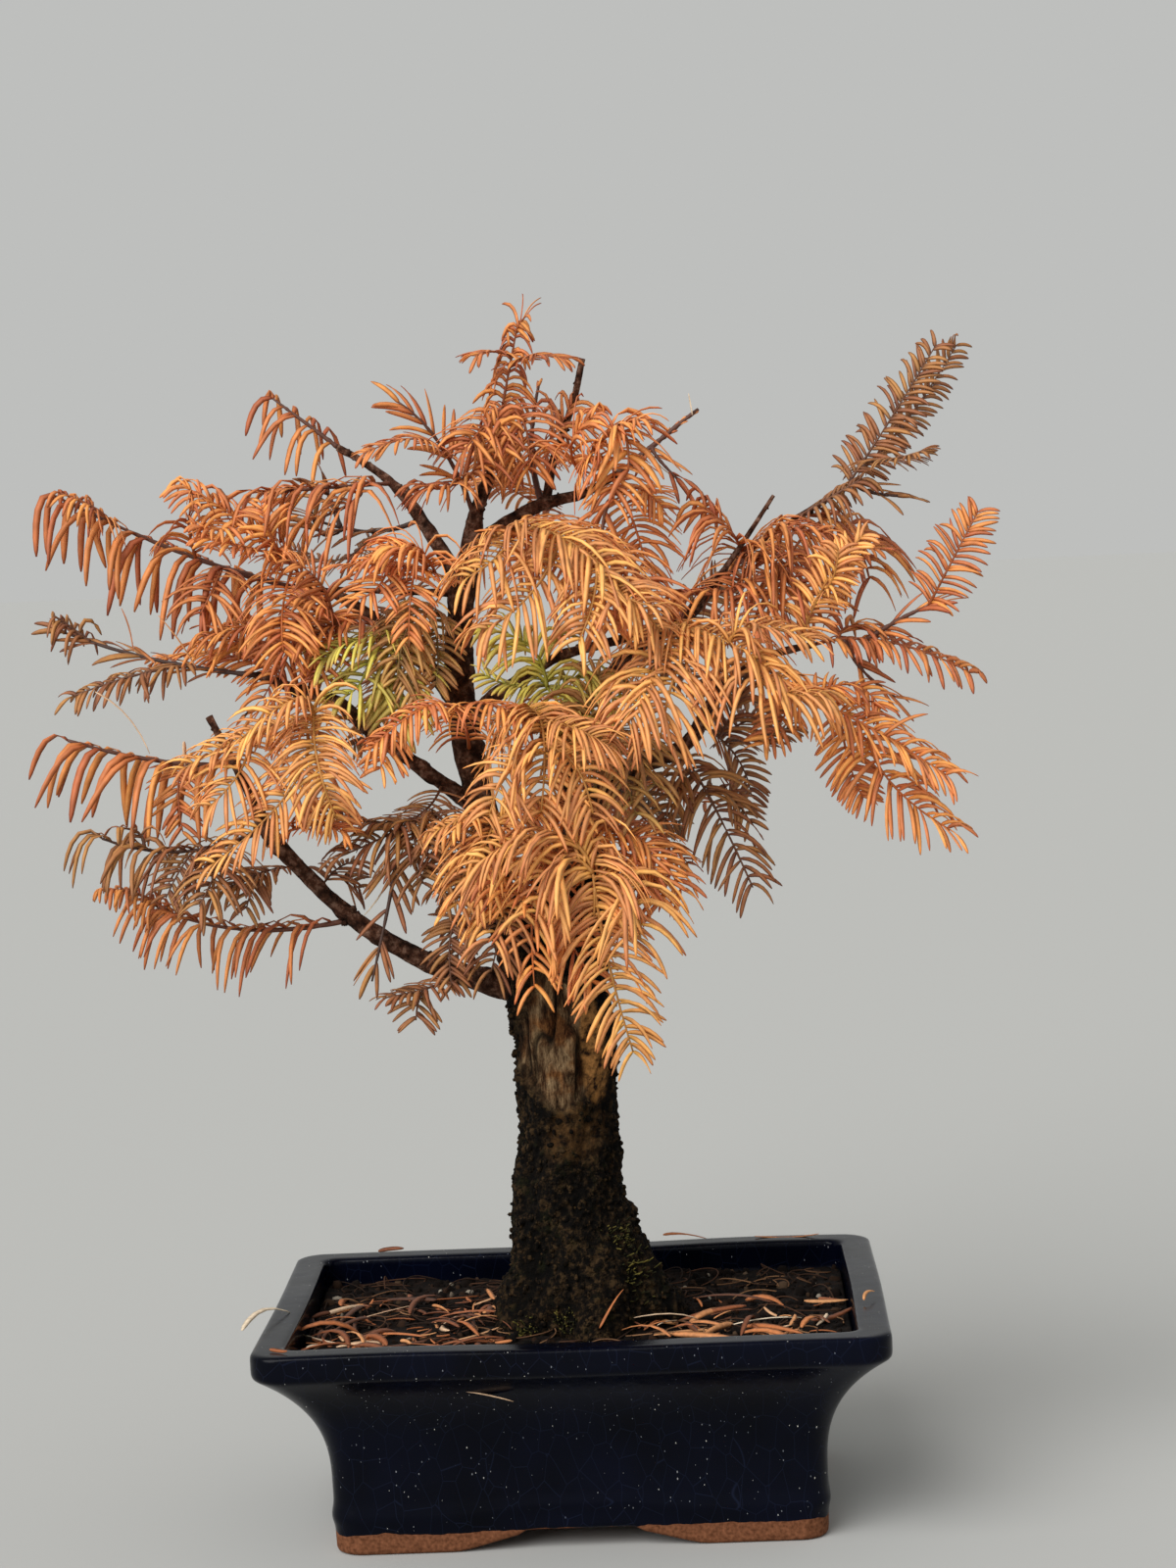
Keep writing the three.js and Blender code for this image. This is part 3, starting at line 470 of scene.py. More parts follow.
crumb_spots = on_soil(CRUMB_COUNT)
crumb_sizes = rng.gamma(3.0, 0.33, len(crumb_spots)).clip(0.4, 2.6)
points, faces = crumbs(crumb_spots, crumb_sizes)
# Composted bark: dark crumbs, a few lighter ones, one in a hundred pale grit
crumb_matter, shader, place = new_material(
    "bark_crumbs_and_grit", roughness=1.0, ior=1.25, bump=(0.5, 2, 0.6, 0.2)
)
colour = colour_by_chance(
    crumb_matter,
    [(0.0, "#050302"), (0.6, "#130c08"), (0.9, "#2d1e14"), (0.98, "#4d3c2d"), (0.995, "#8d8476")],
)
crumb_matter.node_tree.links.new(colour, shader.inputs["Base Color"])
crumb_chances = lump_chances(len(crumb_spots), points)
soil_crumbs = make_piece("soil_crumbs", to_frame(points), *faces, crumb_matter, chance=crumb_chances)

# Fine dead roots and fibres that lie on the soil in loops, drawn 0.5 mm thick where they are 0.3 mm
ROOT_SHARES = np.linspace(0, 1, 12)
root_spots = on_soil(ROOT_COUNT, clear_of_trunk=24)
root_turns = rng.uniform(0, 2 * np.pi, ROOT_COUNT)
root_bends = rng.normal(0, 3.2, ROOT_COUNT)
root_lengths = rng.uniform(9, 30, ROOT_COUNT)
heading = root_turns[:, None] + root_bends[:, None] * (ROOT_SHARES - 0.5)
steps = np.stack([np.cos(heading), np.sin(heading)], -1)
steps *= (root_lengths / (len(ROOT_SHARES) - 1))[:, None, None]
flat_paths = root_spots[:, None, :2] + np.cumsum(steps, 1) - steps.sum(1, keepdims=True) / 2
SOIL_REACH = np.array([POT_LENGTH, POT_DEPTH]) / 2 - inner_inset(SOIL_TOP) - 3
flat_paths = np.clip(flat_paths, -SOIL_REACH, SOIL_REACH)
rises = 1.6 * np.sin(np.pi * ROOT_SHARES) * rng.uniform(0.1, 1.6, ROOT_COUNT)[:, None] + 0.7
root_heights = soil_height(*np.moveaxis(flat_paths, -1, 0)) + rises
root_paths = np.concatenate([flat_paths, root_heights[..., None]], -1)
points, faces = sweep(root_paths, (0, 0, 1), ROOT_RADIUS, ROOT_RADIUS, 4)
fibre, shader, place = new_material("fine_dead_roots", roughness=0.9, ior=1.3)
colour = colour_by_chance(fibre, [(0.0, "#1d120c"), (0.7, "#4a3020"), (1.0, "#8a6546")])
fibre.node_tree.links.new(colour, shader.inputs["Base Color"])
root_chances = lump_chances(ROOT_COUNT, points)
soil_roots = make_piece("soil_roots", to_frame(points), *faces, fibre, chance=root_chances)

# Wood
# Trunk, fork, limbs and dead twigs, grown as one. The old bark is black-brown and crumbly, the limbs
# are smoother and red-brown. A pruning scar on the front is pale, weathered and half grown over.
# Places along the middle of the trunk, x, y and z in millimetres, and its radius there
TRUNK = [
    (3, 0, 33, 19), (3, 0, 48, 26), (3, 0, 61, 29.5), (2, 0, 69, 27.5), (1, 0, 81, 23.5),
    (-1, 0, 93, 19.5), (-2, 0, 107, 17.3), (-1, 0, 121, 15.5), (-1, 0, 142, 15.6), (0, 0, 158, 16),
    (-2, 0, 174, 16), (1, 1, 187, 15.5), (4, 4, 200, 14.5), (5, 6, 210, 12.5), (5, 6, 214, 8),
]
# The limbs' places in the same way, each from inside the wood that it grows from
LIMBS = {
    "leader": [
        (-10, -2, 168, 7), (-17, -1, 190, 5.6), (-22, 2, 220, 4.9), (-28, 5, 252, 4.8),
        (-30, 6, 274, 4.7), (-28, 6, 298, 4.2), (-24, 4, 316, 3.3), (-21, 3, 329, 2.4),
        (-16, 2, 340, 1.6),
    ],
    "low_left": [
        (-8, -2, 171, 6.4), (-24, -4, 175, 4.2), (-42, -7, 182, 3.3), (-65, -11, 197, 2.8),
        (-82, -15, 215, 2.4), (-92, -16, 228, 2.8), (-99, -15, 244, 1.6), (-110, -12, 266, 1.1),
    ],
    "mid_left": [
        (-24, 4, 230, 3.4), (-35, 2, 239, 2.5), (-46, -1, 248, 2.3), (-58, -3, 258, 2.4),
        (-69, -3, 268, 2.3), (-80, 0, 272, 1.9), (-96, 4, 278, 1.3),
    ],
    "high_left": [
        (-30, 6, 266, 4.2), (-37, 7, 275, 2.8), (-51, 10, 290, 2.4), (-61, 12, 297, 2.2),
        (-70, 13, 303, 1.5), (-84, 13, 306, 1.2),
    ],
    "high_left_twig": [
        (-30, 6, 302, 1.5), (-46, 4, 303, 1), (-70, 2, 305, 0.8),
    ],
    "top_left": [
        (-27, 6, 304, 3), (-35, 9, 318, 2.3), (-42, 12, 329, 1.9), (-49, 15, 338, 1.5),
        (-59, 17, 346, 1.2), (-67, 19, 351, 1.1),
    ],
    "top_left_stub": [
        (-42, 12, 329, 1.6), (-45, 13, 337, 1.1),
    ],
    "cross": [
        (-28, 5, 258, 3.2), (-19, 1, 267, 2.2), (-5, -5, 276, 1.8), (6, -8, 281, 1.6),
        (23, -10, 285, 1.5), (39, -9, 289, 1.6), (44, -8, 290, 1.5),
    ],
    "dead_twig": [
        (43, -8, 290, 1.3), (52, -7, 299, 1), (62, -5, 311, 0.9), (75, -2, 329, 0.6),
    ],
    "right_back": [
        (5, 6, 200, 7), (5, 12, 222, 3.8), (4, 15, 246, 2.8), (9, 17, 261, 2.5), (18, 17, 268, 2.5),
        (25, 16, 279, 2.2), (45, 16, 290, 1.8), (65, 19, 310, 1.4), (88, 21, 324, 1),
        (99, 22, 330, 0.8),
    ],
    "right_front": [
        (6, 2, 206, 7), (12, -1, 230, 4), (22, -4, 241, 2.9), (35, -7, 246, 2.5), (45, -10, 252, 2.3),
        (51, -12, 262, 1.9), (58, -12, 270, 1.6), (72, -12, 278, 1.3), (86, -13, 281, 1.1),
    ],
    "front_low": [
        (4, -2, 204, 5), (3, -16, 214, 3), (2, -28, 219, 2.2), (4, -38, 218, 1.5),
    ],
    "apex_stub": [
        (1, 5, 328, 1.8), (4, 7, 343, 1.3), (8, 8, 353, 1.2), (12, 9, 364, 1.1), (15, 10, 376, 1),
    ],
    "apex_right": [
        (-22, 3, 318, 2.4), (-8, 4, 326, 2.1), (2, 5, 330, 2.1), (15, 6, 333, 1.4), (28, 7, 340, 1.2),
    ],
}


def route(rows, shares):
    """Places along a smooth line through rows of numbers: between two rows a cubic that leaves and
    meets them along the line from the row before to the row after (Catmull-Rom)."""
    rows = np.asarray(rows, float)
    rows = np.concatenate([[2 * rows[0] - rows[1]], rows, [2 * rows[-1] - rows[-2]]])
    along = np.asarray(shares, float) * (len(rows) - 3)
    at = np.minimum(along.astype(int), len(rows) - 4)
    t = (along - at)[:, None]
    before, start, end, after = (rows[at + i] for i in range(4))
    leave = (end - before) / 2
    meet = (after - start) / 2
    return (
        start
        + leave * t
        + (3 * (end - start) - 2 * leave - meet) * t**2
        + (2 * (start - end) + leave + meet) * t**3
    )


def line_length(places):
    """How long the line through places is, from the x, y and z that they start with."""
    return np.linalg.norm(np.diff(np.asarray(places, float)[:, :3], axis=0), axis=1).sum()


def smooth_step(value):
    """0 below 0, 1 above 1, and 3t^2 - 2t^3 between."""
    t = np.clip(value, 0, 1)
    return t * t * (3 - 2 * t)


TRUNK_SIDES = 220
axis = route(TRUNK, np.linspace(0, 1, 270))
angle = 2 * np.pi * np.arange(TRUNK_SIDES) / TRUNK_SIDES
height = axis[:, 2:3]
roots = 0.16 * np.exp(-np.maximum(0, height - SOIL_TOP) / 16) * np.cos(5 * angle + 0.6)
swell = 0.035 * np.sin(3 * angle + 0.06 * height) + 0.03 * np.sin(7 * angle - 0.21 * height)
radius = axis[:, 3:4] * (1 + roots + swell)
x = axis[:, 0:1] + radius * np.cos(angle)
y = axis[:, 1:2] + radius * np.sin(angle)
skin = np.stack([x, y, np.broadcast_to(height, x.shape)], -1)


def oval(middle, reach, ragged, size, seed):
    """0 at the middle of an oval on the trunk, given by x and z, and 1 on its edge, made ragged by
    noise."""
    level = ((x - middle[0]) / reach[0]) ** 2 + ((height - middle[1]) / reach[1]) ** 2
    return level + ragged * noise(skin, size, seed)


# The scar: a tall oval on the front, sunk by about 1 mm, with long splinters in it, a rolled edge and a
# lumpy ridge of callus down its middle. Below it the bark has come away from smooth brown wound wood.
front = smooth_step((-3 - y) / 6)
scar_round = oval((-4, 156), (14, 23), 0.4, 9, 21)
patch_round = oval((9, 148), (5, 20), 0.5, 7, 30)
stain_round = oval((2, 126), (12, 13), 0.8, 8, 26)
scar = smooth_step((1 - scar_round) / 0.25) * front
lip = np.exp(-(((scar_round - 1.05) / 0.16) ** 2)) * front
wound = np.maximum(smooth_step((1 - patch_round) / 0.6), 0.16 * smooth_step((1 - stain_round) / 0.9))
wound = wound * front
scar = scar * (1 - wound)
callus_line = 0.4 + 1.8 * np.sin((height - 137) / 8)
callus = np.exp(-(((x - callus_line) / 2.6) ** 2)) * smooth_step((163 - height) / 6)
callus = callus * smooth_step((height - 133) / 5) * front
cracks = np.exp(-((noise(skin * (1, 1, 0.14), 5, 29) / 0.11) ** 2)) * scar
splinters = noise(skin * (1, 1, 0.1), 1.6, 22) + 0.5 * noise(skin * (1, 1, 0.2), 0.9, 27)
furrows = noise(skin * (1, 1, 0.35), 6, 23)
crumbling = noise(skin, 2.1, 24)
fine = noise(skin, 1.1, 25)
bark_out = 1.1 * furrows + 1.3 * np.maximum(crumbling, 0) + 0.6 * fine
# A knob low on the right, at 0.1 radians, which is also 0.1 past a whole turn
knob = sum(
    np.exp(-((angle - turn - 0.1) ** 2 / 0.03) - ((height - 94) / 4) ** 2) for turn in (0, 2 * np.pi)
)
smooth_wood = np.maximum(scar, 0.8 * wound)
out = (1 - smooth_wood) * bark_out + scar * (0.5 * splinters - 1.2) - 1.4 * cracks + 0.9 * lip
out = out + callus * (2.0 + 1.6 * noise(skin, 3.2, 28)) + 3.0 * knob
radius = radius + out
# Painted shade: the bark is painted darker where its surface sinks, and in the scar's cracks
trunk_painted_shade = np.maximum(np.clip(0.55 - 0.6 * out, 0, 1) * (1 - smooth_wood), 0.9 * cracks)
trunk_points, faces = sweep(axis[None, :, :3], (1, 0, 0), radius[None], radius[None], TRUNK_SIDES)
wood_points = [trunk_points]
wood_faces = [faces]
wood_values = {
    "scar": [np.append(np.maximum(scar, 0.7 * callus), [0, 0])],
    "wound": [np.append(wound, [0, 0])],
    "age": [np.ones(len(trunk_points))],
    "painted_shade": [np.append(trunk_painted_shade, [0, 0])],
}

LIMB_SIDES = 18
LIMB_STEP = 0.9
for index, rows in enumerate(LIMBS.values()):
    line = route(rows, np.linspace(0, 1, int(line_length(rows) / LIMB_STEP)))
    path = line[None, :, :3]
    run = path[0, -1] - path[0, 0]
    across = (0, 1, 0) if abs(run[1]) < max(abs(run[0]), abs(run[2])) else (0, 0, 1)
    radius = line[None, :, 3:4]
    plain, faces = sweep(path, across, radius, radius, LIMB_SIDES)
    around = plain[:-2].reshape(1, -1, LIMB_SIDES, 3)
    ridges = noise(around, 3.2, 31 + index)
    flaky = np.maximum(noise(around, 1.3, 51 + index), 0)
    knots = np.maximum(noise(around, 6, 71 + index) - 0.35, 0)
    radius = radius * (1 + 0.10 * ridges + 0.08 * flaky + 0.5 * knots)
    points, faces = sweep(path, across, radius, radius, LIMB_SIDES)
    wood_points.append(points)
    wood_faces.append(faces)
    for key in ("scar", "wound"):
        wood_values[key].append(np.zeros(len(points)))
    thick = np.repeat(np.clip((line[:, 3] - 1.6) / 12, 0, 0.4), LIMB_SIDES)
    wood_values["age"].append(np.append(thick, thick[[0, -1]]))
    # Painted shade on the limbs: darker in the low places between their ridges and flakes
    deep = np.clip(0.2 - 0.6 * ridges - 0.4 * flaky, 0, 0.8).ravel()
    wood_values["painted_shade"].append(np.append(deep, [0, 0]))


def gather(parts, face_parts):
    """Several meshes' points and faces as one."""
    shifts = np.cumsum([0] + [len(part) for part in parts[:-1]])
    quads = np.concatenate([faces[0] + shift for faces, shift in zip(face_parts, shifts)])
    triangles = np.concatenate([faces[1] + shift for faces, shift in zip(face_parts, shifts)])
    return np.concatenate(parts), quads, triangles


# Bark: nearly black and matt where it is old and damp, red-brown with a grey bloom on the limbs, and
# painted near-black in its hollows as shade. The scar is grey weathered wood, streaked along the grain,
# with painted shade in its cracks.
bark, shader, place = new_material("dawn_redwood_bark", roughness=0.95, ior=1.2)
scarred, wounded, age, painted_shade = (
    add_node(bark, "Attribute", attribute_name=key).outputs["Fac"] for key in wood_values
)
along_grain = add_node(bark, "Mapping", {"Vector": place, "Scale": (1, 1, 0.24)}).outputs["Vector"]
# Noise over a place, by its size in millimetres, its detail and how rough it is
BARK_NOISE = (
    (place, 2.4, 6, 0.72),
    (place, 2.5, 5, 0.6),
    (place, 7, 5, 0.7),
    (along_grain, 3, 7, 0.75),
    (place, 8, 3, 0.5),
    (place, 0.8, 4, 0.6),
)
old_lumps, young_lumps, algae_cloud, grain, clouds, flakes = (
    add_node(
        bark, "TexNoise", {"Vector": over, "Scale": 1 / (size * MM), "Detail": detail, "Roughness": rough}
    ).outputs["Fac"]
    for over, size, detail, rough in BARK_NOISE
)
old = add_node(
    bark, "ValToRGB", {"Fac": old_lumps}, stops=[(0.4, "#040302"), (0.5, "#140e08"), (0.6, "#40301d")]
).outputs["Color"]
young = add_node(
    bark, "ValToRGB", {"Fac": young_lumps}, stops=[(0.34, "#26150f"), (0.5, "#573728"), (0.66, "#8f6d5b")]
).outputs["Color"]
skin_colour = add_node(bark, "MixRGB", {"Fac": age, "Color1": young, "Color2": old}).outputs["Color"]
# Painted shade: the hollows darkened towards near black
shaded = add_node(
    bark, "MixRGB", {"Fac": painted_shade, "Color1": skin_colour, "Color2": linear("#040302")}
).outputs["Color"]
algae = add_node(
    bark, "ValToRGB", {"Fac": algae_cloud}, stops=[(0.56, "#000000"), (0.68, "#8a8a8a")]
).outputs["Color"]
damp = add_node(bark, "MixRGB", {"Fac": age, "Color1": (0, 0, 0, 1), "Color2": algae}).outputs["Color"]
greened = add_node(
    bark, "MixRGB", {"Fac": damp, "Color1": shaded, "Color2": linear("#2a2c14")}
).outputs["Color"]
weathered = add_node(
    bark,
    "ValToRGB",
    {"Fac": grain},
    stops=[(0.36, "#130a05"), (0.46, "#453220"), (0.55, "#776045"), (0.68, "#a58b66")],
).outputs["Color"]
wound_wood = add_node(
    bark, "ValToRGB", {"Fac": young_lumps}, stops=[(0.36, "#20120a"), (0.62, "#a0713f")]
).outputs["Color"]
healed = add_node(
    bark, "MixRGB", {"Fac": wounded, "Color1": greened, "Color2": wound_wood}
).outputs["Color"]
browning = add_node(
    bark, "ValToRGB", {"Fac": clouds}, stops=[(0.44, "#ffffff"), (0.6, "#c69a70")]
).outputs["Color"]
stained = add_node(
    bark, "MixRGB", {"Fac": 0.9, "Color1": weathered, "Color2": browning}, blend_type="MULTIPLY"
).outputs["Color"]
# Painted shade: the scar darkened in its cracks and sunk parts
scar_with_painted_shade = add_node(
    bark, "MixRGB", {"Fac": painted_shade, "Color1": stained, "Color2": linear("#0a0705")}
).outputs["Color"]
colour = add_node(bark, "MixRGB", {"Fac": scarred, "Color1": healed, "Color2": scar_with_painted_shade}).outputs["Color"]
bark.node_tree.links.new(colour, shader.inputs["Base Color"])
flaking = add_node(bark, "Bump", {"Height": flakes, "Strength": 1.0, "Distance": 0.9 * MM})
bark.node_tree.links.new(flaking.outputs["Normal"], shader.inputs["Normal"])

points, quads, triangles = gather(wood_points, wood_faces)
wood_values = {key: np.concatenate(parts) for key, parts in wood_values.items()}
wood = make_piece("wood_grown", to_frame(points), quads, triangles, bark, **wood_values)
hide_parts("wood")

# Crumbs of old bark
# The trunk's bark breaks into grains that cling to it and roughen its outline. They are small angular
# lumps of the same old bark, from 0.35 to 1.3 mm in radius.
BARK_CRUMB_COUNT = 2300
BARK_TOP = 206
rng = np.random.default_rng(31)


def bark_lumps(name, spots, sizes, age, painted_shade):
    """A piece of bark lumps at given places, all of one age and one amount of painted shade."""
    points, faces = crumbs(spots, sizes)
    values = {"age": age, "painted_shade": painted_shade, "scar": 0.0, "wound": 0.0}
    values = {key: np.full(len(points), value) for key, value in values.items()}
    return make_piece(name, to_frame(points), *faces, bark, **values)


skin_points = trunk_points[:-2]
low_enough = (skin_points[:, 2] > SOIL_TOP) & (skin_points[:, 2] < BARK_TOP)
barky = np.nonzero(low_enough & (np.maximum(scar, wound).ravel() < 0.25))[0]
spots = skin_points[rng.choice(barky, BARK_CRUMB_COUNT)]
sizes = rng.gamma(4.0, 0.17, BARK_CRUMB_COUNT).clip(0.35, 1.3)
bark_crumbs = bark_lumps("bark_crumbs", spots, sizes, age=1.0, painted_shade=0.0)

# Buds and knots
# Dormant buds and leaf scars all along the limbs, and swollen knots where side shoots were cut.
KNOTS = {
    "low_left": (0.45, 0.735),
    "mid_left": (0.86,),
    "apex_right": (0.5,),
    "right_back": (0.5,),
    "cross": (0.95,),
}
BUD_SPACING = 4.5
LUMPS_PER_KNOT = 9
bud_spots = []
bud_sizes = []
for name, rows in LIMBS.items():
    count = int(line_length(rows) / BUD_SPACING)
    shares = np.concatenate([rng.uniform(0.12, 1, count), np.repeat(KNOTS.get(name, ()), LUMPS_PER_KNOT)])
    reach = np.concatenate([np.full(count, 0.95), np.full(len(shares) - count, 1.15)])
    sizes = np.concatenate([rng.uniform(0.45, 0.9, count), rng.uniform(0.8, 1.5, len(shares) - count)])
    line = route(rows, shares)
    outward = unit(rng.normal(0, 1, (len(shares), 3)))
    bud_spots.append(line[:, :3] + outward * (line[:, 3] * reach)[:, None])
    bud_sizes.append(sizes)
# The buds are painted a little darker all over as shade
limb_buds = bark_lumps(
    "limb_buds", np.concatenate(bud_spots), np.concatenate(bud_sizes), age=0.4, painted_shade=0.2
)

# Moss
# Short yellow-green moss in four places on the foot of the trunk, its shoots drawn 0.5 mm thick
# where they are 0.2 mm.
MOSS_PLACES = np.array([(-16.5, -26, 63), (20.5, -15, 80), (15, -13, 90), (-4, -27, 66)])
MOSS_SPREAD = (4, 6, 4, 3)
MOSS_SHOOTS = 60
MOSS_RADIUS = 0.25
moss_spots = []
for middle, spread in zip(MOSS_PLACES, MOSS_SPREAD):
    far = np.linalg.norm(skin_points - middle, axis=1)
    near = np.nonzero((far < 2 * spread) & (skin_points[:, 2] > SOIL_TOP - 1))[0]
    odds = np.exp(-((far[near] / spread) ** 2))
    moss_spots.append(skin_points[rng.choice(near, MOSS_SHOOTS, p=odds / odds.sum())])
moss_spots = np.concatenate(moss_spots)
outward = moss_spots - (1, 0, 0)
outward[:, 2] = 12
outward = unit(outward) + rng.normal(0, 0.3, outward.shape)
reach = np.linspace(0, 1, 4) * rng.uniform(0.7, 2.2, (len(moss_spots), 1))
shoots = moss_spots[:, None] + outward[:, None] * reach[..., None]
points, faces = sweep(shoots, (1, 0, 0), MOSS_RADIUS, MOSS_RADIUS, 3)
moss_matter, shader, place = new_material("moss_shoots", roughness=0.9, ior=1.3)
colour = colour_by_chance(moss_matter, [(0.0, "#1c1c0d"), (0.6, "#3d3a18"), (1.0, "#75692f")])
moss_matter.node_tree.links.new(colour, shader.inputs["Base Color"])
moss_chances = lump_chances(len(moss_spots), points)
moss = make_piece("moss", to_frame(points), *faces, moss_matter, chance=moss_chances)

# Leafy sprays
# Each is one leafy stem with its side stems, grown from a limb, with two rows of flat soft needles that
# have turned and are about to fall. Tones run from yellow-green at the core to salmon at the ends.

# Kinds of leafy stem, in mm and degrees: radius of the stem; length and width of its needles and their
# spacing along it; how far they lean towards its tip, how much they rise at first and bend down after;
# and how woody the stem is, from 0 for green to 1 for brown
Kind = namedtuple("Kind", "stem needle width pitch lean lift hang wood")
FINE = Kind(0.5, 12, 1.45, 1.75, 26, 0.2, 0.8, 0.3)
COMB = Kind(0.6, 16, 1.6, 2.2, 22, 0.35, 1.8, 0.25)
FAN = Kind(0.6, 20, 1.5, 2.0, 34, 0.55, 1.7, 0.2)
ARCH = Kind(0.7, 28, 1.6, 2.15, 34, 0.65, 2.4, 0.2)
BROAD = Kind(0.7, 22, 2.2, 3.7, 40, 0.45, 1.7, 0.3)
HANGING = Kind(0.9, 29, 1.6, 4.0, 50, 0.8, 3.3, 0.9)
LONG = Kind(1.0, 32, 2.4, 5.2, 38, 0.5, 5.2, 1.0)
SPARSE = Kind(0.9, 16, 1.7, 6.5, 52, 0.15, 0.6, 1.0)
CURLY = Kind(0.7, 13, 1.4, 1.9, 12, 0.8, 3.2, 0.4)
DROOPING = Kind(0.9, 22, 1.9, 3.6, 24, 0.4, 4.6, 1.0)
BARE = Kind(1.2, 4, 1.2, 12, 60, 0.1, 0.3, 1.0)
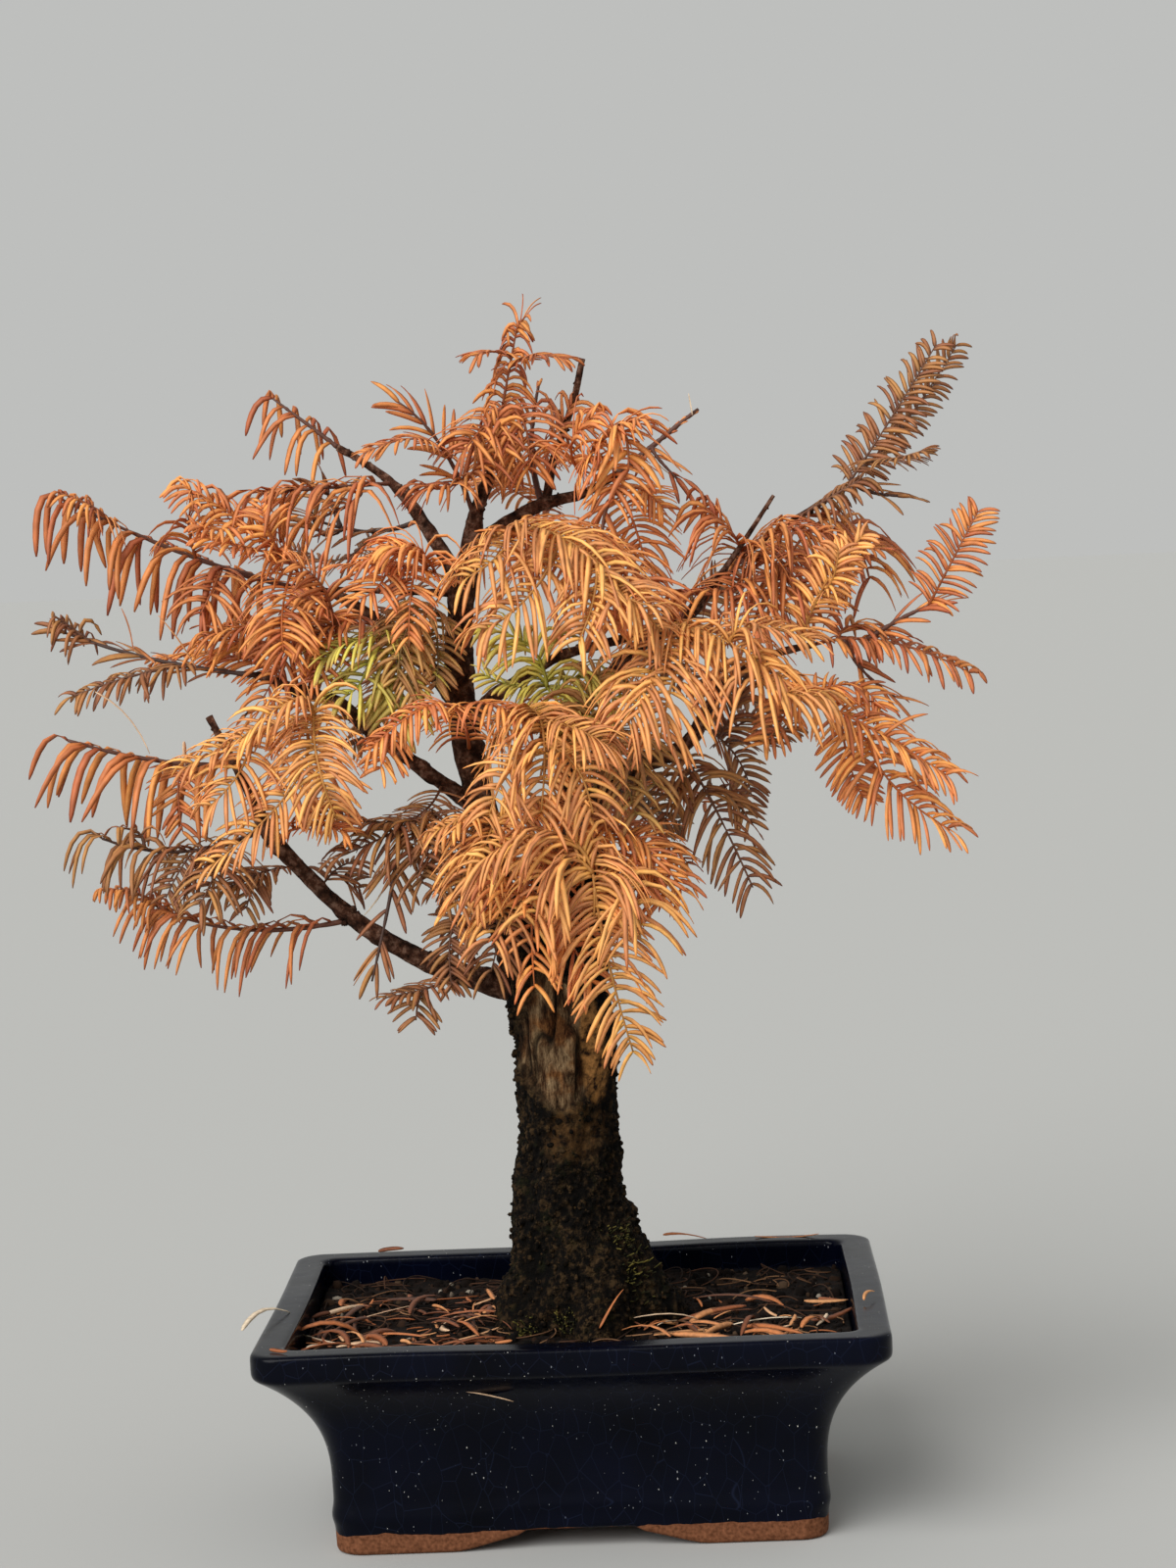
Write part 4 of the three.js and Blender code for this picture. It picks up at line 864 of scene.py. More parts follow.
# The stems of each spray, the first one first: the limb it grows on, or an earlier stem of the spray by
# number; the share of it where it leaves; a place that it passes halfway; its tip; and its kind
SPRAYS = {
    "low_left_shoot": (
        "salmon",
        ("low_left", 0.44, (-100, -18, 197), (-128, -24, 206), HANGING),
        (0, 0.94, (-134, -26, 211), (-144, -30, 213), CURLY),
    ),
    "low_left_hanging": (
        "brown",
        ("low_left", 0.73, (-118, -26, 224), (-143, -34, 230), HANGING),
        (0, 0.23, (-107, -34, 219), (-112, -42, 208), FAN),
        (0, 0.40, (-119, -30, 219), (-124, -32, 210), FINE),
        (0, 0.73, (-132, -30, 231), (-138, -34, 233), CURLY),
    ),
    "upper_low_left_shoot": (
        "salmon",
        ("low_left", 0.90, (-127, -18, 253), (-154, -24, 261), LONG),
        (0, 0.28, (-120, -20, 244), (-119, -22, 230), FINE),
    ),
    "golden_left_outer": (
        "gold",
        ("mid_left", 0.57, (-88, -14, 262), (-116, -30, 251), FAN),
        (0, 0.27, (-81, -32, 245), (-107, -38, 221), FAN),
        (0, 0.62, (-98, -30, 250), (-108, -34, 239), FAN),
    ),
    "golden_left_inner": (
        "gold",
        ("mid_left", 0.77, (-73, -40, 256), (-67, -44, 234), FAN),
        (0, 0.19, (-80, -30, 271), (-97, -34, 260), FAN),
    ),
    "low_left_bright": (
        "orange",
        ("low_left", 0.69, (-77, -30, 231), (-65, -36, 229), FINE),
        (0, 0.22, (-80, -32, 235), (-68, -34, 237), FINE),
    ),
    "low_left_dark": (
        "brown",
        ("low_left", 0.58, (-94, -24, 216), (-110, -30, 209), FINE),
        (0, 0.31, (-96, -26, 213), (-99, -28, 205), FINE),
    ),
    "low_left_small": (
        "brown",
        ("low_left", 0.52, (-72, -6, 214), (-66, 0, 216), FINE),
        (0, 0.28, (-70, -4, 211), (-65, -2, 207), FINE),
    ),
    "low_left_base": (
        "brown",
        ("low_left", 0.22, (-42, -18, 176), (-56, -24, 174), FINE),
        (0, 0.50, (-46, -20, 172), (-47, -22, 166), FINE),
    ),
    "mid_left_end": (
        "brown",
        ("mid_left", 1.00, (-129, 9, 284), (-159, 12, 294), SPARSE),
        (0, 0.30, (-134, 0, 280), (-155, -4, 274), COMB),
        (0, 0.86, (-157, 10, 296), (-162, 8, 300), CURLY),
    ),
    "mid_left_upper": (
        "orange",
        ("mid_left", 0.87, (-105, 14, 284), (-130, 18, 284), FINE),
        (0, 0.18, (-101, 10, 289), (-114, 6, 288), FAN),
        (0, 0.35, (-96, 12, 288), (-94, 10, 293), FINE),
    ),
    "high_left_end": (
        "salmon",
        ("high_left", 1.00, (-119, 6, 319), (-157, -4, 339), LONG),
        (0, 0.41, (-114, -6, 327), (-112, -12, 333), FAN),
        (0, 0.77, (-145, -6, 335), (-155, -8, 340), CURLY),
        (0, 0.29, (-108, 0, 307), (-112, -4, 299), FAN),
    ),
    "high_left_orange": (
        "orange",
        ("high_left", 0.91, (-92, -4, 324), (-114, -10, 340), FAN),
        (0, 0.28, (-96, -12, 320), (-109, -16, 324), FINE),
        (0, 0.19, (-87, -10, 323), (-90, -8, 334), FINE),
        (0, 0.16, (-84, -14, 300), (-84, -18, 286), FAN),
        (0, 0.66, (-103, -14, 326), (-110, -18, 328), FINE),
    ),
    "high_left_under": (
        "salmon",
        ("high_left_twig", 1.00, (-81, 0, 290), (-93, -4, 271), FAN),
        (0, 0.32, (-91, -4, 294), (-110, -8, 292), FAN),
        (0, 0.50, (-77, 2, 285), (-74, 4, 277), FINE),
    ),
    "high_left_middle": (
        "salmon",
        ("high_left", 0.43, (-68, -4, 293), (-86, -10, 285), FAN),
        (0, 0.49, (-71, -12, 306), (-80, -18, 315), FINE),
        (0, 0.45, (-72, -14, 301), (-86, -18, 304), FINE),
        (0, 0.72, (-72, -12, 284), (-76, -14, 276), FINE),
    ),
    "leader_olive": (
        "olive",
        ("leader", 0.58, (-41, -12, 296), (-48, -18, 276), FAN),
        (0, 0.50, (-46, -14, 287), (-42, -18, 269), FINE),
        (0, 0.20, (-35, -12, 284), (-36, -14, 273), FINE),
    ),
    "yellow_green": (
        "green",
        ("high_left", 0.30, (-55, -8, 289), (-72, -14, 283), FAN),
        (0, 0.41, (-47, -14, 278), (-49, -18, 262), BROAD),
        (0, 0.49, (-59, -14, 277), (-65, -18, 271), FAN),
    ),
    "top_left_end": ("salmon", ("top_left", 1.00, (-78, 20, 360), (-88, 22, 368), DROOPING)),
    "top_left_middle": (
        "salmon",
        ("top_left", 0.61, (-66, 4, 338), (-90, -4, 337), HANGING),
        (0, 0.25, (-61, 0, 333), (-73, -4, 328), HANGING),
        (0, 0.75, (-83, -2, 338), (-90, -6, 337), FINE),
    ),
    "top_left_lower": (
        "brown",
        ("top_left", 0.35, (-57, 14, 323), (-76, 16, 328), SPARSE),
        (0, 0.39, (-69, 24, 314), (-84, 30, 318), FINE),
        (0, 0.75, (-70, 20, 333), (-72, 18, 337), SPARSE),
        (0, 0.72, (-74, 22, 323), (-77, 20, 331), SPARSE),
    ),
    "apex_left": (
        "salmon",
        ("leader", 0.84, (-31, -4, 349), (-44, -8, 364), SPARSE),
        (0, 0.33, (-38, -16, 352), (-55, -22, 348), FINE),
        (0, 0.18, (-30, -12, 336), (-37, -14, 337), FAN),
        (0, 0.12, (-19, -8, 344), (-12, -12, 358), FAN),
    ),
    "apex_shoot": (
        "salmon",
        ("leader", 0.98, (-11, 2, 363), (-5, 0, 388), CURLY),
        (0, 0.70, (0, -8, 377), (11, -12, 375), FINE),
        (0, 0.78, (-14, -6, 379), (-18, -8, 378), FINE),
        (0, 0.38, (-18, -10, 354), (-24, -14, 347), FAN),
        (0, 0.44, (-4, -8, 355), (-3, -10, 341), FAN),
        (0, 0.94, (-4, -2, 388), (-2, -4, 390), FINE),
    ),
    "apex_red_twig": (
        "salmon",
        ("apex_right", 0.46, (-3, 14, 347), (0, 18, 368), BARE),
        (0, 0.41, (4, 8, 351), (11, 6, 361), FAN),
        (0, 0.46, (-7, 8, 347), (-13, 4, 341), FAN),
    ),
    "apex_right_end": (
        "salmon",
        ("apex_right", 1.00, (41, 8, 350), (52, 9, 358), BARE),
        (0, 0.26, (38, 4, 343), (44, 0, 336), SPARSE),
    ),
    "apex_right_fall": (
        "orange",
        ("apex_right", 0.90, (29, -6, 324), (33, -10, 308), FAN),
        (0, 0.15, (32, -12, 333), (39, -14, 327), FINE),
        (0, 0.12, (21, -10, 327), (19, -12, 314), SPARSE),
    ),
    "apex_right_arch": (
        "orange",
        ("apex_right", 0.66, (20, -14, 348), (33, -26, 354), FAN),
        (0, 0.24, (23, -20, 342), (24, -26, 330), FAN),
        (0, 0.13, (11, -14, 348), (18, -20, 356), FAN),
        (0, 0.59, (28, -22, 351), (29, -26, 339), BROAD),
    ),
    "right_top": (
        "brown",
        ("right_back", 1.00, (114, 20, 351), (130, 18, 375), FINE),
        (0, 0.12, (118, 36, 348), (139, 44, 376), FINE),
        (0, 0.19, (114, 2, 339), (123, -8, 341), FINE),
        (0, 0.04, (106, 14, 329), (116, 12, 327), SPARSE),
        ("right_back", 0.86, (93, 12, 327), (104, 10, 333), COMB),
    ),
    "right_gold": (
        "gold",
        ("right_front", 0.96, (89, -20, 299), (102, -24, 315), FINE),
        (0, 0.39, (92, -26, 302), (94, -28, 311), FINE),
    ),
    "right_back_arch": (
        "salmon",
        ("right_back", 0.75, (73, -2, 308), (86, -8, 295), ARCH),
        (0, 0.18, (75, -4, 317), (90, -10, 316), ARCH),
        (0, 0.13, (62, -8, 316), (53, -12, 326), ARCH),
        (0, 0.24, (60, -12, 300), (46, -18, 299), ARCH),
        (0, 0.61, (70, -14, 293), (64, -20, 285), FAN),
    ),
    "right_back_low": (
        "salmon",
        ("right_back", 0.87, (99, 24, 317), (106, 22, 300), ARCH),
        (0, 0.37, (101, 18, 312), (110, 14, 310), FINE),
        (0, 0.17, (81, 10, 311), (77, 6, 299), ARCH),
    ),
    "right_end": (
        "salmon",
        ("right_front", 1.00, (109, -16, 281), (135, -18, 270), COMB),
        (0, 0.34, (115, -20, 289), (123, -24, 292), SPARSE),
        (1, 0.91, (130, -30, 307), (138, -30, 321), FINE),
        (0, 0.17, (101, -12, 272), (111, -12, 263), SPARSE),
        (0, 0.13, (98, -10, 286), (108, -14, 282), FAN),
    ),
    "right_low": (
        "orange",
        ("right_front", 0.81, (96, -26, 258), (125, -32, 239), FAN),
        (0, 0.57, (107, -28, 238), (126, -28, 221), FAN),
        (0, 0.42, (95, -22, 244), (99, -24, 232), FINE),
        (0, 0.18, (75, -24, 259), (68, -28, 251), FINE),
        (0, 0.28, (97, -20, 268), (106, -22, 260), FINE),
    ),
    "right_dark": (
        "brown",
        ("right_front", 0.56, (59, -2, 246), (64, 2, 232), FINE),
        (0, 0.27, (66, 8, 250), (78, 14, 253), FINE),
        (0, 0.18, (63, 4, 256), (76, 6, 261), FINE),
        (0, 0.18, (60, -4, 262), (63, -6, 271), FAN),
    ),
    "right_droop": (
        "brown",
        ("right_front", 0.44, (50, -16, 234), (63, -18, 204), FAN),
        (0, 0.21, (40, -18, 238), (36, -20, 227), FINE),
        (0, 0.41, (56, -14, 234), (63, -14, 225), FINE),
    ),
    "right_under": (
        "grey",
        ("right_front", 0.20, (28, 8, 231), (40, 12, 223), FINE),
        (0, 0.36, (29, 8, 240), (30, 10, 248), FINE),
    ),
    "front_crown": (
        "gold",
        ("leader", 0.71, (3, -34, 321), (37, -50, 289), ARCH),
        (0, 0.26, (-12, -34, 315), (-22, -40, 308), ARCH),
        (0, 0.72, (17, -54, 300), (12, -58, 287), FAN),
        (0, 0.54, (-1, -46, 304), (-16, -52, 292), ARCH),
        (0, 0.80, (27, -52, 300), (36, -56, 297), FAN),
    ),
    "front_crown_right": (
        "orange",
        ("apex_right", 0.25, (15, -16, 316), (35, -30, 296), ARCH),
        (0, 0.37, (18, -30, 306), (21, -36, 290), FAN),
        (0, 0.23, (-1, -24, 319), (-7, -28, 311), FAN),
    ),
    "front_crown_left": (
        "orange",
        ("leader", 0.66, (-42, -14, 311), (-65, -20, 313), FINE),
        (0, 0.32, (-41, -18, 318), (-56, -22, 314), FAN),
        (0, 0.23, (-38, -20, 315), (-47, -24, 318), FAN),
        (0, 0.64, (-53, -22, 305), (-60, -24, 302), FINE),
        (0, 0.41, (-42, -22, 303), (-43, -26, 289), FINE),
    ),
    "front_right_arch": (
        "gold",
        ("cross", 0.72, (49, -38, 288), (74, -52, 273), ARCH),
        (0, 0.35, (35, -50, 278), (26, -56, 261), ARCH),
        (0, 0.47, (41, -52, 275), (36, -56, 257), ARCH),
        (0, 0.69, (66, -50, 289), (84, -52, 284), FAN),
        (0, 0.80, (69, -54, 271), (84, -56, 267), ARCH),
    ),
    "front_middle": (
        "gold",
        ("leader", 0.33, (-4, -36, 265), (-2, -58, 235), ARCH),
        (0, 0.28, (7, -54, 261), (20, -58, 254), FAN),
        (0, 0.77, (9, -58, 249), (14, -60, 234), FAN),
        (0, 0.80, (-11, -56, 248), (-18, -58, 235), FAN),
    ),
    "front_middle_left": (
        "orange",
        ("leader", 0.36, (-33, -32, 268), (-56, -38, 255), COMB),
        (0, 0.26, (-19, -36, 268), (-5, -42, 262), COMB),
        (0, 0.85, (-50, -38, 256), (-53, -40, 249), FINE),
    ),
    "front_middle_right": (
        "olive",
        ("right_front", 0.14, (18, -28, 255), (27, -42, 231), FAN),
        (0, 0.15, (10, -30, 258), (0, -34, 253), FAN),
        (0, 0.73, (28, -34, 253), (33, -38, 240), FAN),
        (0, 0.18, (13, -28, 262), (17, -28, 275), FAN),
    ),
    "lower_front_left": (
        "gold",
        ("leader", 0.24, (-17, -30, 232), (-26, -46, 211), ARCH),
        (0, 0.10, (-24, -34, 232), (-37, -38, 228), COMB),
        (0, 0.76, (-13, -44, 215), (-20, -48, 194), ARCH),
        (0, 0.80, (-26, -42, 219), (-31, -46, 204), COMB),
        (0, 0.66, (-6, -40, 236), (9, -46, 233), ARCH),
    ),
    "lower_front_centre": (
        "gold",
        ("front_low", 1.00, (12, -56, 219), (13, -60, 202), ARCH),
        (0, 0.79, (17, -58, 186), (23, -52, 158), FAN),
        (0, 0.58, (0, -58, 228), (-23, -60, 219), ARCH),
        (0, 0.65, (4, -60, 219), (-5, -62, 203), ARCH),
        (0, 0.71, (24, -60, 211), (27, -60, 194), ARCH),
    ),
    "lower_front_right": (
        "orange",
        ("front_low", 0.78, (24, -38, 225), (40, -42, 207), FAN),
        (0, 0.53, (32, -46, 215), (33, -48, 203), FINE),
        (0, 0.33, (12, -42, 232), (0, -46, 235), FAN),
        (0, 0.38, (22, -46, 214), (17, -48, 203), FAN),
    ),
    "trunk_front_fall": (
        "orange",
        ("front_low", 1.00, (-5, -46, 215), (-7, -50, 179), FAN),
        (0, 0.75, (3, -52, 195), (11, -54, 181), FAN),
        (0, 0.62, (-10, -50, 208), (-18, -52, 213), FAN),
    ),
    "trunk_left_fall": (
        "brown",
        ("leader", 0.19, (-29, -14, 214), (-33, -18, 178), FINE),
        (0, 0.61, (-20, -22, 200), (-22, -24, 181), FAN),
        (0, 0.75, (-35, -20, 191), (-35, -22, 177), FINE),
    ),
    "left_hollow_spray": (
        "brown",
        ("mid_left", 0.19, (-49, -20, 230), (-75, -22, 236), FINE),
        (0, 0.47, (-52, -26, 211), (-60, -28, 180), SPARSE),
        (0, 0.24, (-33, -24, 226), (-36, -28, 209), FAN),
        (0, 0.38, (-52, -26, 227), (-67, -28, 221), FAN),
        (0, 0.33, (-44, -28, 224), (-42, -30, 211), FAN),
    ),
    "cross_green": (
        "green",
        ("cross", 0.34, (2, -20, 268), (10, -30, 258), FAN),
        (0, 0.28, (-5, -16, 284), (-18, -18, 290), FAN),
        (0, 0.41, (13, -24, 274), (23, -28, 265), FAN),
        (0, 0.24, (-11, -16, 272), (-20, -18, 276), FINE),
    ),
    "back_left": (
        "brown",
        ("leader", 0.53, (-62, 52, 290), (-92, 84, 287), FINE),
        (0, 0.38, (-59, 70, 269), (-73, 84, 248), FINE),
        (0, 0.27, (-51, 50, 303), (-61, 60, 313), FINE),
    ),
    "back_top": (
        "orange",
        ("leader", 0.93, (-18, 40, 345), (-30, 76, 352), FINE),
        (0, 0.30, (1, 62, 344), (13, 80, 343), FINE),
        (0, 0.15, (-12, 40, 335), (0, 60, 327), FINE),
    ),
    "back_right": (
        "brown",
        ("right_back", 0.36, (38, 56, 279), (65, 86, 283), FINE),
        (0, 0.56, (59, 66, 301), (80, 80, 310), FINE),
        (0, 0.35, (51, 60, 265), (71, 70, 257), FINE),
    ),
    "back_middle": (
        "gold",
        ("right_back", 0.25, (-3, 54, 261), (-25, 88, 253), FINE),
        (0, 0.49, (9, 70, 239), (22, 84, 220), FINE),
        (0, 0.35, (11, 50, 267), (27, 60, 266), FINE),
    ),
    "back_low": (
        "salmon",
        ("right_back", 0.16, (23, 46, 235), (49, 78, 223), FINE),
        (0, 0.50, (5, 68, 215), (-13, 82, 204), FINE),
        (0, 0.34, (29, 50, 220), (42, 56, 205), FINE),
    ),
}
# Drawn 0.45 mm thick where they are 0.3 mm
NEEDLE_THICKNESS = 0.45
# Along a needle: narrow at its root, full soon after, parallel, and drawn in to a blunt tip
NEEDLE_SHARES = np.array([0, 0.07, 0.2, 0.38, 0.56, 0.74, 0.9, 0.985])
NEEDLE_FULLNESS = np.array([0.4, 0.8, 1, 1, 0.98, 0.88, 0.6, 0.22])
NEEDLE_SIDES = 4


def stem_line(base, halfway, tip, shares):
    """A parabola from its base through its halfway point to its tip."""
    bend = 2 * halfway - (base + tip) / 2
    t = np.asarray(shares, float)[:, None]
    return (1 - t) ** 2 * base + 2 * t * (1 - t) * bend + t**2 * tip


def needles(roots, directions, turns, flat_along, lengths, widths):
    """Flat needles. Each sets off along its direction and bends as it goes: its heading at a share s
    of its length is direction + s x turn. Its flat side lies along "flat_along"."""
    middles = (NEEDLE_SHARES[1:] + NEEDLE_SHARES[:-1]) / 2
    headings = directions[:, None] + middles[:, None] * turns[:, None]
    steps = unit(headings) * (np.diff(NEEDLE_SHARES) * lengths[:, None])[..., None]
    paths = roots[:, None] + np.concatenate([np.zeros((len(roots), 1, 3)), np.cumsum(steps, 1)], 1)
    half_width = (widths[:, None] / 2 * NEEDLE_FULLNESS)[..., None]
    half_depth = (NEEDLE_THICKNESS / 2 * NEEDLE_FULLNESS**0.5)[None, :, None]
    return sweep(paths, flat_along[:, None], half_width, half_depth, NEEDLE_SIDES)


# The share of the needle's length at each of its points, in the order that "needles" makes them
ALONG_NEEDLE = np.append(np.repeat(NEEDLE_SHARES, NEEDLE_SIDES), [0, 1])
SATURATION = 1.025


def needle_finish(name, root, middle, tip, stem):
    """Dying foliage: dull and papery, its colour running from the needle's root to its tip, mottled
    along it and differing from needle to needle."""
    finish, shader, place = new_material(name, roughness=0.6)
    along, chance, woody = (
        add_node(finish, "Attribute", attribute_name=key).outputs["Fac"]
        for key in ("along", "chance", "woody")
    )
    run = add_node(
        finish, "ValToRGB", {"Fac": along}, stops=[(0.0, root), (0.3, middle), (0.75, middle), (1.0, tip)]
    ).outputs["Color"]
    cloud = add_node(finish, "TexNoise", {"Vector": place, "Scale": 1 / (5 * MM), "Detail": 3})
    mottle = add_node(
        finish,
        "MapRange",
        {"Value": cloud.outputs["Fac"], "From Min": 0.3, "From Max": 0.7, "To Min": 0.78, "To Max": 1.16},
    ).outputs["Result"]
    value = add_node(finish, "MapRange", {"Value": chance, "To Min": 0.7, "To Max": 1.2}).outputs["Result"]
    value = add_node(finish, "Math", {0: value, 1: mottle}, operation="MULTIPLY").outputs[0]
    hue = add_node(
        finish, "MapRange", {"Value": chance, "To Min": 0.488, "To Max": 0.512}
    ).outputs["Result"]
    varied = add_node(
        finish, "HueSaturation", {"Color": run, "Hue": hue, "Saturation": SATURATION, "Value": value}
    ).outputs["Color"]
    colour = add_node(
        finish, "MixRGB", {"Fac": woody, "Color1": varied, "Color2": linear(stem)}
    ).outputs["Color"]
    finish.node_tree.links.new(colour, shader.inputs["Base Color"])
    return finish


# Colours of each tone: a needle's root, middle and tip, and the stem
TONES = {
    "salmon": ("#a4562a", "#d98650", "#a4562f", "#5a3526"),
    "orange": ("#c66c33", "#f29d5e", "#dd7c44", "#6b422c"),
    "gold": ("#c38743", "#f5ab68", "#e58c52", "#7a5030"),
    "brown": ("#70452a", "#ab7145", "#7c4b2f", "#42291e"),
    "olive": ("#8a6b35", "#c9965a", "#b87a46", "#5a4222"),
    "green": ("#9c9a35", "#d9c660", "#dca765", "#6b6426"),
    "grey": ("#65503c", "#967253", "#6c5340", "#3a2b22"),
}
FINISHES = {tone: needle_finish("autumn_needle_" + tone, *colours) for tone, colours in TONES.items()}
STEM_ROWS = 26
STEM_SIDES = 6
STEM_TAPER = 0.45
LIMB_CLEARANCE = 0.35
# Behind this place the sprays face backwards
BACK = 30
# The lean that is added towards the tip of a stem, in degrees
TIP_LEAN = 22
UP = np.array([0, 0, 1.0])
limb_lines = {name: route(rows, np.linspace(0, 1, 200)) for name, rows in LIMBS.items()}
for order, (name, (tone, *stems)) in enumerate(SPRAYS.items()):
    rng = np.random.default_rng(100 + order)
    parts = []
    face_parts = []
    values = {"along": [], "chance": [], "woody": []}
    laid = []
    for parent, share, halfway, tip, kind in stems:
        halfway = np.array(halfway, float)
        tip = np.array(tip, float)
        if isinstance(parent, str):
            # The stem starts inside its limb, and its needles start where it has left it
            base = route(LIMBS[parent], [share])[0, :3]
            tried = stem_line(base, halfway, tip, np.linspace(0, 0.6, 61))
            limb = limb_lines[parent]
            gaps = np.linalg.norm(tried[:, None] - limb[None, :, :3], axis=-1) - limb[:, 3]
            outside = np.nonzero(gaps.min(1) > kind.stem + LIMB_CLEARANCE)[0]
            start = outside[0] / 100 if len(outside) else 0.3
        else:
            *parent_line, parent_start = laid[parent]
            base = stem_line(*parent_line, [parent_start + (1 - parent_start) * share])[0]
            start = 0
        laid.append((base, halfway, tip, start))
        path = stem_line(base, halfway, tip, np.linspace(0, 1, STEM_ROWS))
        length = line_length(path) * (1 - start)
        run = unit(np.gradient(path, axis=0))
        outwards = 1 if tip[1] > BACK else -1
        facing = UP + np.outer(1.5 * np.abs(run[:, 2]), (0, outwards, 0))
        side = unit(np.cross(facing, run))
        swelling = 1 + 0.12 * rng.normal(0, 1, STEM_ROWS)
        radius = (kind.stem * np.linspace(1, STEM_TAPER, STEM_ROWS) * swelling)[None, :, None]
        points, faces = sweep(path[None], side[None], radius, radius, STEM_SIDES)
        parts.append(points)
        face_parts.append(faces)
        values["along"].append(np.zeros(len(points)))
        values["chance"].append(np.full(len(points), 0.5))
        values["woody"].append(np.full(len(points), kind.wood))

        pairs = max(2, int((length - 2) / kind.pitch))
        shares = np.repeat((np.arange(pairs + 1) + 0.6) / (pairs + 0.8), 2)
        shares = np.clip(shares + rng.normal(0, (0.2 + 0.2 * kind.wood) / pairs, len(shares)), 0, 1)
        signs = np.tile([-1.0, 1.0], pairs + 1)[:, None]
        where = (start + (1 - start) * shares) * (STEM_ROWS - 1)
        low = np.minimum(where.astype(int), STEM_ROWS - 2)
        part = (where - low)[:, None]
        roots = path[low] * (1 - part) + path[low + 1] * part
        tangents = unit(run[low] * (1 - part) + run[low + 1] * part)
        sides = unit(side[low] * (1 - part) + side[low + 1] * part)
        count = len(shares)
        chance = rng.uniform(0, 1, count)
        lean = np.radians(kind.lean + rng.normal(0, 4, count) + TIP_LEAN * shares**2)[:, None]
        rise = (kind.lift * rng.uniform(0.6, 1.4, count))[:, None] * UP
        directions = unit(signs * np.cos(lean) * sides + np.sin(lean) * tangents + rise)
        turns = rng.normal(0, 0.08 + 0.08 * kind.hang, (count, 3))
        turns -= (kind.hang * rng.uniform(0.75, 1.25, count))[:, None] * UP
        swell = 0.5 + 0.5 * np.sin(np.pi * (0.25 + 0.75 * shares))
        swell = swell + 0.6 * kind.wood * (1 - swell)
        lengths = kind.needle * swell * rng.uniform(0.9, 1.08, count)
        widths = kind.width * rng.uniform(0.8, 1.12, count)
        flat = unit(tangents + rng.normal(0, 0.16, (count, 3)))
        points, faces = needles(roots, directions, turns, flat, lengths, widths)
        parts.append(points)
        face_parts.append(faces)
        values["along"].append(np.tile(ALONG_NEEDLE, count))
        values["chance"].append(np.repeat(chance, len(ALONG_NEEDLE)))
        values["woody"].append(np.zeros(len(points)))
    points, quads, triangles = gather(parts, face_parts)
    values = {key: np.concatenate(value) for key, value in values.items()}
    spray = make_piece(name + "_needled", to_frame(points), quads, triangles, FINISHES[tone], **values)
    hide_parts(name)

# Fallen needles
# Dead needles that have dropped from the tree: in two loose heaps on the soil, left and right of the
# trunk, a few on the pot's rim, and some caught in the crown. They are dry, curled and papery.
rng = np.random.default_rng(77)
dry, shader, place = new_material("fallen_needle", roughness=0.7)
tint = colour_by_chance(
    dry, [(0.0, "#4a2b1a"), (0.3, "#8f4f2a"), (0.6, "#c4743f"), (0.88, "#d99a63"), (1.0, "#ead9bd")]
)
specks = add_node(dry, "TexNoise", {"Vector": place, "Scale": 1 / (1.5 * MM), "Detail": 3}).outputs["Fac"]
shade = add_node(
    dry, "MapRange", {"Value": specks, "From Min": 0.3, "From Max": 0.7, "To Min": 0.7, "To Max": 1.1}
).outputs["Result"]
colour = add_node(dry, "HueSaturation", {"Color": tint, "Value": shade}).outputs["Color"]
dry.node_tree.links.new(colour, shader.inputs["Base Color"])


def shed_needles(name, rows, darkest=0.0):
    """Single needles, a row of start, end and width for each, in a low arch: a needle sets off along
    the straight line between them + bow and turns by -2 x bow."""
    starts, ends, widths = rows[:, :3], rows[:, 3:6], rows[:, 6]
    chords = ends - starts
    lengths = np.linalg.norm(chords, axis=1)
    count = len(starts)
    bow = rng.normal(0, 0.28, (count, 3)) + np.outer(rng.uniform(0, 0.3, count), UP)
    flat = unit(np.cross(chords, UP) + rng.normal(0, 0.5, (count, 3)) * lengths[:, None])
    points, faces = needles(starts, unit(chords) + bow, -2 * bow, flat, 1.04 * lengths, widths)
    chances = lump_chances(count, points, darkest)
    piece = make_piece(name, to_frame(points), *faces, dry, chance=chances)
    return piece


def heap(low, high, large, small):
    """Rows of start, end and width of needles scattered on the soil between two corners."""
    count = large + small
    middles = rng.uniform(low, high, (count, 2))
    is_large = np.arange(count) < large
    lengths = np.where(is_large, rng.uniform(14, 27, count), rng.uniform(5, 12, count))
    turn = rng.uniform(0, 2 * np.pi, count)
    half = lengths[:, None] / 2 * np.stack([np.cos(turn), np.sin(turn)], -1)
    ends = []
    for side in (-1, 1):
        spots = middles + side * half
        lift = rng.uniform(0.8, 3.2, count)
        ends.append(np.column_stack([spots, soil_height(*spots.T) + lift]))
    widths = np.where(is_large, rng.uniform(1.7, 2.4, count), rng.uniform(1.0, 1.6, count))
    return np.column_stack([*ends, widths])


left_heap = shed_needles("fallen_left", heap((-88, -59), (-22, 30), 62, 50))
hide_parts("litter_left")
right_heap = shed_needles("fallen_right", heap((14, -57), (84, 12), 32, 36))
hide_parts("litter_right")
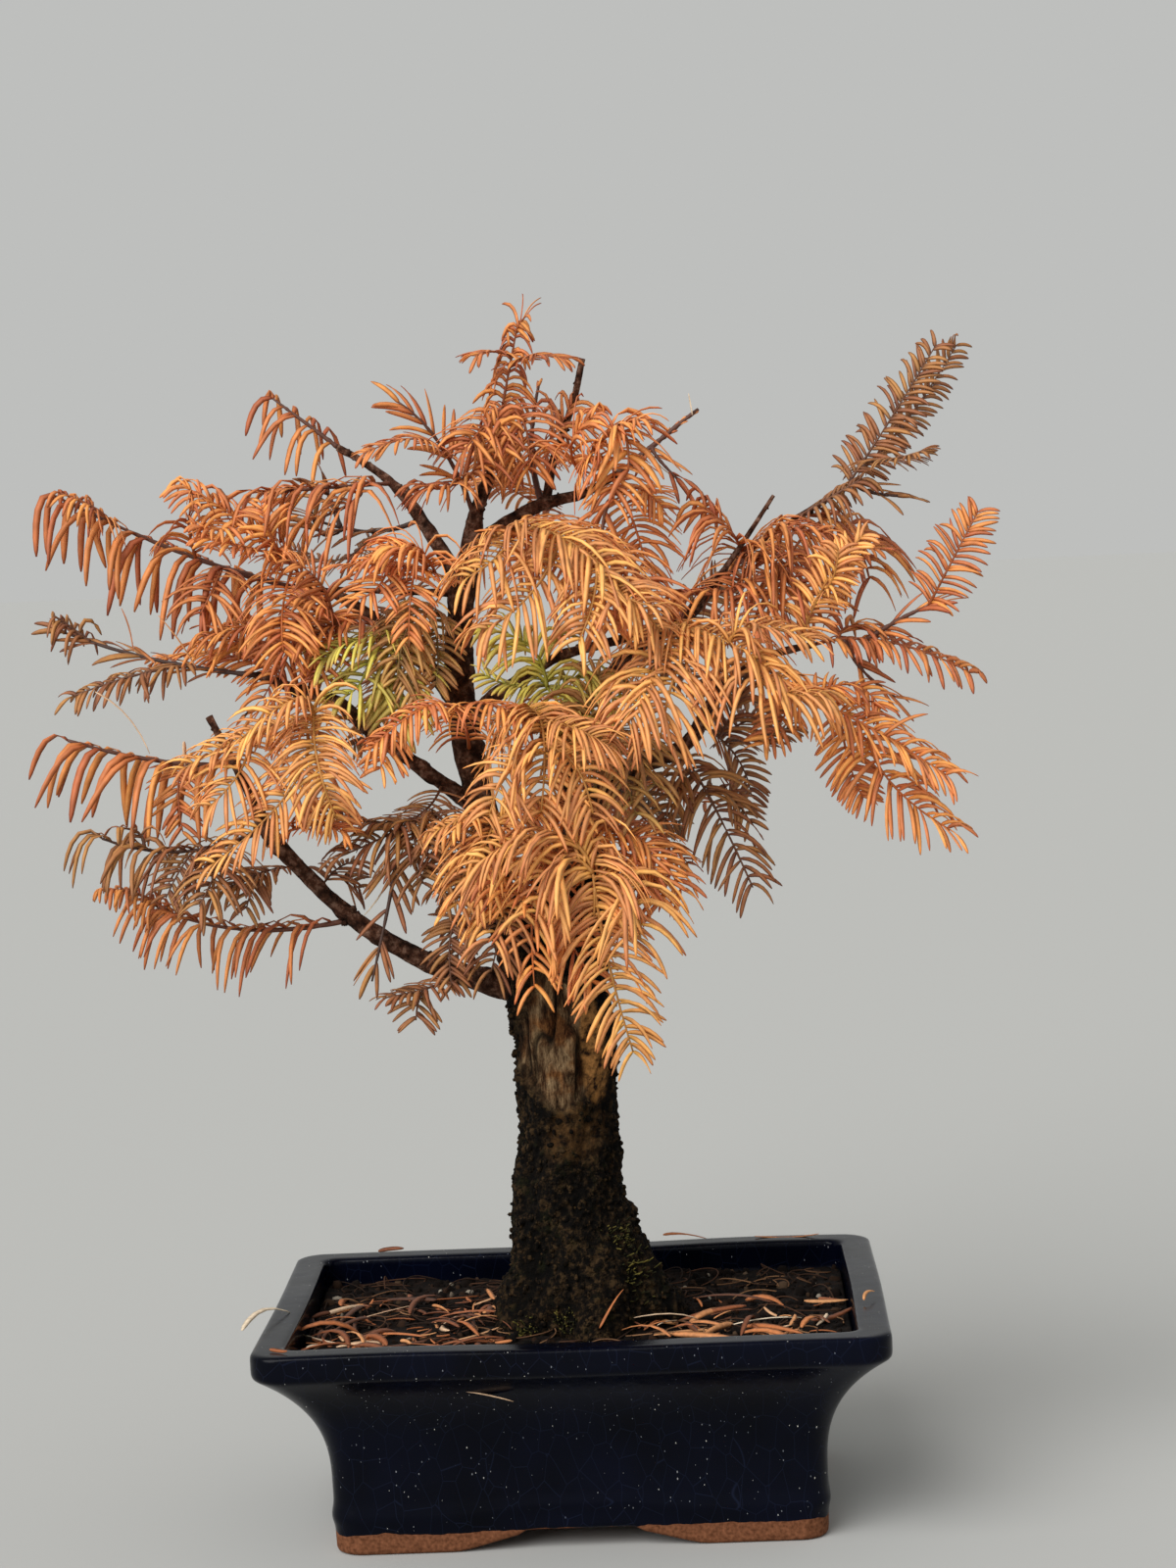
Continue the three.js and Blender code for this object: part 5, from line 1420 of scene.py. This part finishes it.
# Needles caught in the crown or leaning on the trunk and the pot, each by its start, end and width
CAUGHT = np.array(
    [
        (8, -34, 66, 16, -27, 77, 2.2),
        (-37, -66, 56, -19, -67, 52, 1.8),
        (-145, -20, 276, -129, -20, 255, 2.0),
        (-117, -22, 259, -117, -22, 251, 2.0),
        (-58, -20, 302, -60, -20, 280, 1.1),
        (-28, -20, 307, -46, -20, 289, 1.1),
        (-46, -20, 289, -43, -20, 280, 1.0),
        (-47, -20, 225, -62, -20, 200, 0.7),
        (-90, -8, 324, -89, -8, 334, 1.2),
        (-86, -8, 319, -85, -8, 331, 1.2),
        (-133, -14, 288, -136, -14, 302, 1.5),
        (-126, -14, 284, -133, -14, 290, 1.4),
        (-113, -14, 282, -124, -14, 299, 1.5),
        (35, 6, 345, 44, 6, 336, 1.4),
        (33, 6, 344, 36, 6, 332, 1.4),
        (50, 6, 356, 49, 6, 363, 3.6),
    ],
    float,
)
shed_needles("caught_needles", CAUGHT, darkest=0.45)
# Each needle on the pot's rim by its start, end and width
ON_RIM = np.array(
    [
        (-106, -40, 71, -93, -14, 71, 2.0),
        (-94, -66, 71, -88, -70, 71, 1.4),
        (-72, 70, 71, -63, 68, 72, 1.6),
        (28, 70, 73, 43, 69, 71, 1.6),
        (60, 71, 71, 82, 70, 71, 1.8),
        (93, -30, 71, 97, -22, 72, 1.2),
    ],
    float,
)
rim_needles = shed_needles("fallen_on_rim", ON_RIM)
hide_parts("rim_needle")

# Studio
# A plain pale floor under one very broad soft light from the upper left and front, in a pale surround
# about as bright as the floor, so the two run into each other at the horizon.
FLOOR_HALF = 12
KEY_TURN = (52, -6, -32)
floor_mesh = bpy.data.meshes.new("floor")
floor_corners = [(FLOOR_HALF * x, FLOOR_HALF * y, 0) for x, y in SQUARE]
floor_mesh.from_pydata(floor_corners, [], [(0, 1, 2, 3)])
floor_paint, shader, place = new_material("matt_studio_floor", roughness=0.9)
shader.inputs["Base Color"].default_value = linear("#b3b3b0")
floor_mesh.materials.append(floor_paint)
studio_floor = bpy.data.objects.new("floor", floor_mesh)
bpy.context.scene.collection.objects.link(studio_floor)

world = bpy.data.worlds.new("studio")
bpy.context.scene.world = world
world.use_nodes = True
surround = world.node_tree.nodes["Background"]
surround.inputs["Color"].default_value = linear("#dcdddb")
surround.inputs["Strength"].default_value = 0.72

key = bpy.data.lights.new("key", "SUN")
key.energy = 3.0
key.angle = math.radians(50)
key_light = bpy.data.objects.new("key", key)
key_light.rotation_euler = [math.radians(turn) for turn in KEY_TURN]
bpy.context.scene.collection.objects.link(key_light)
bpy.context.scene.view_settings.view_transform = "Standard"
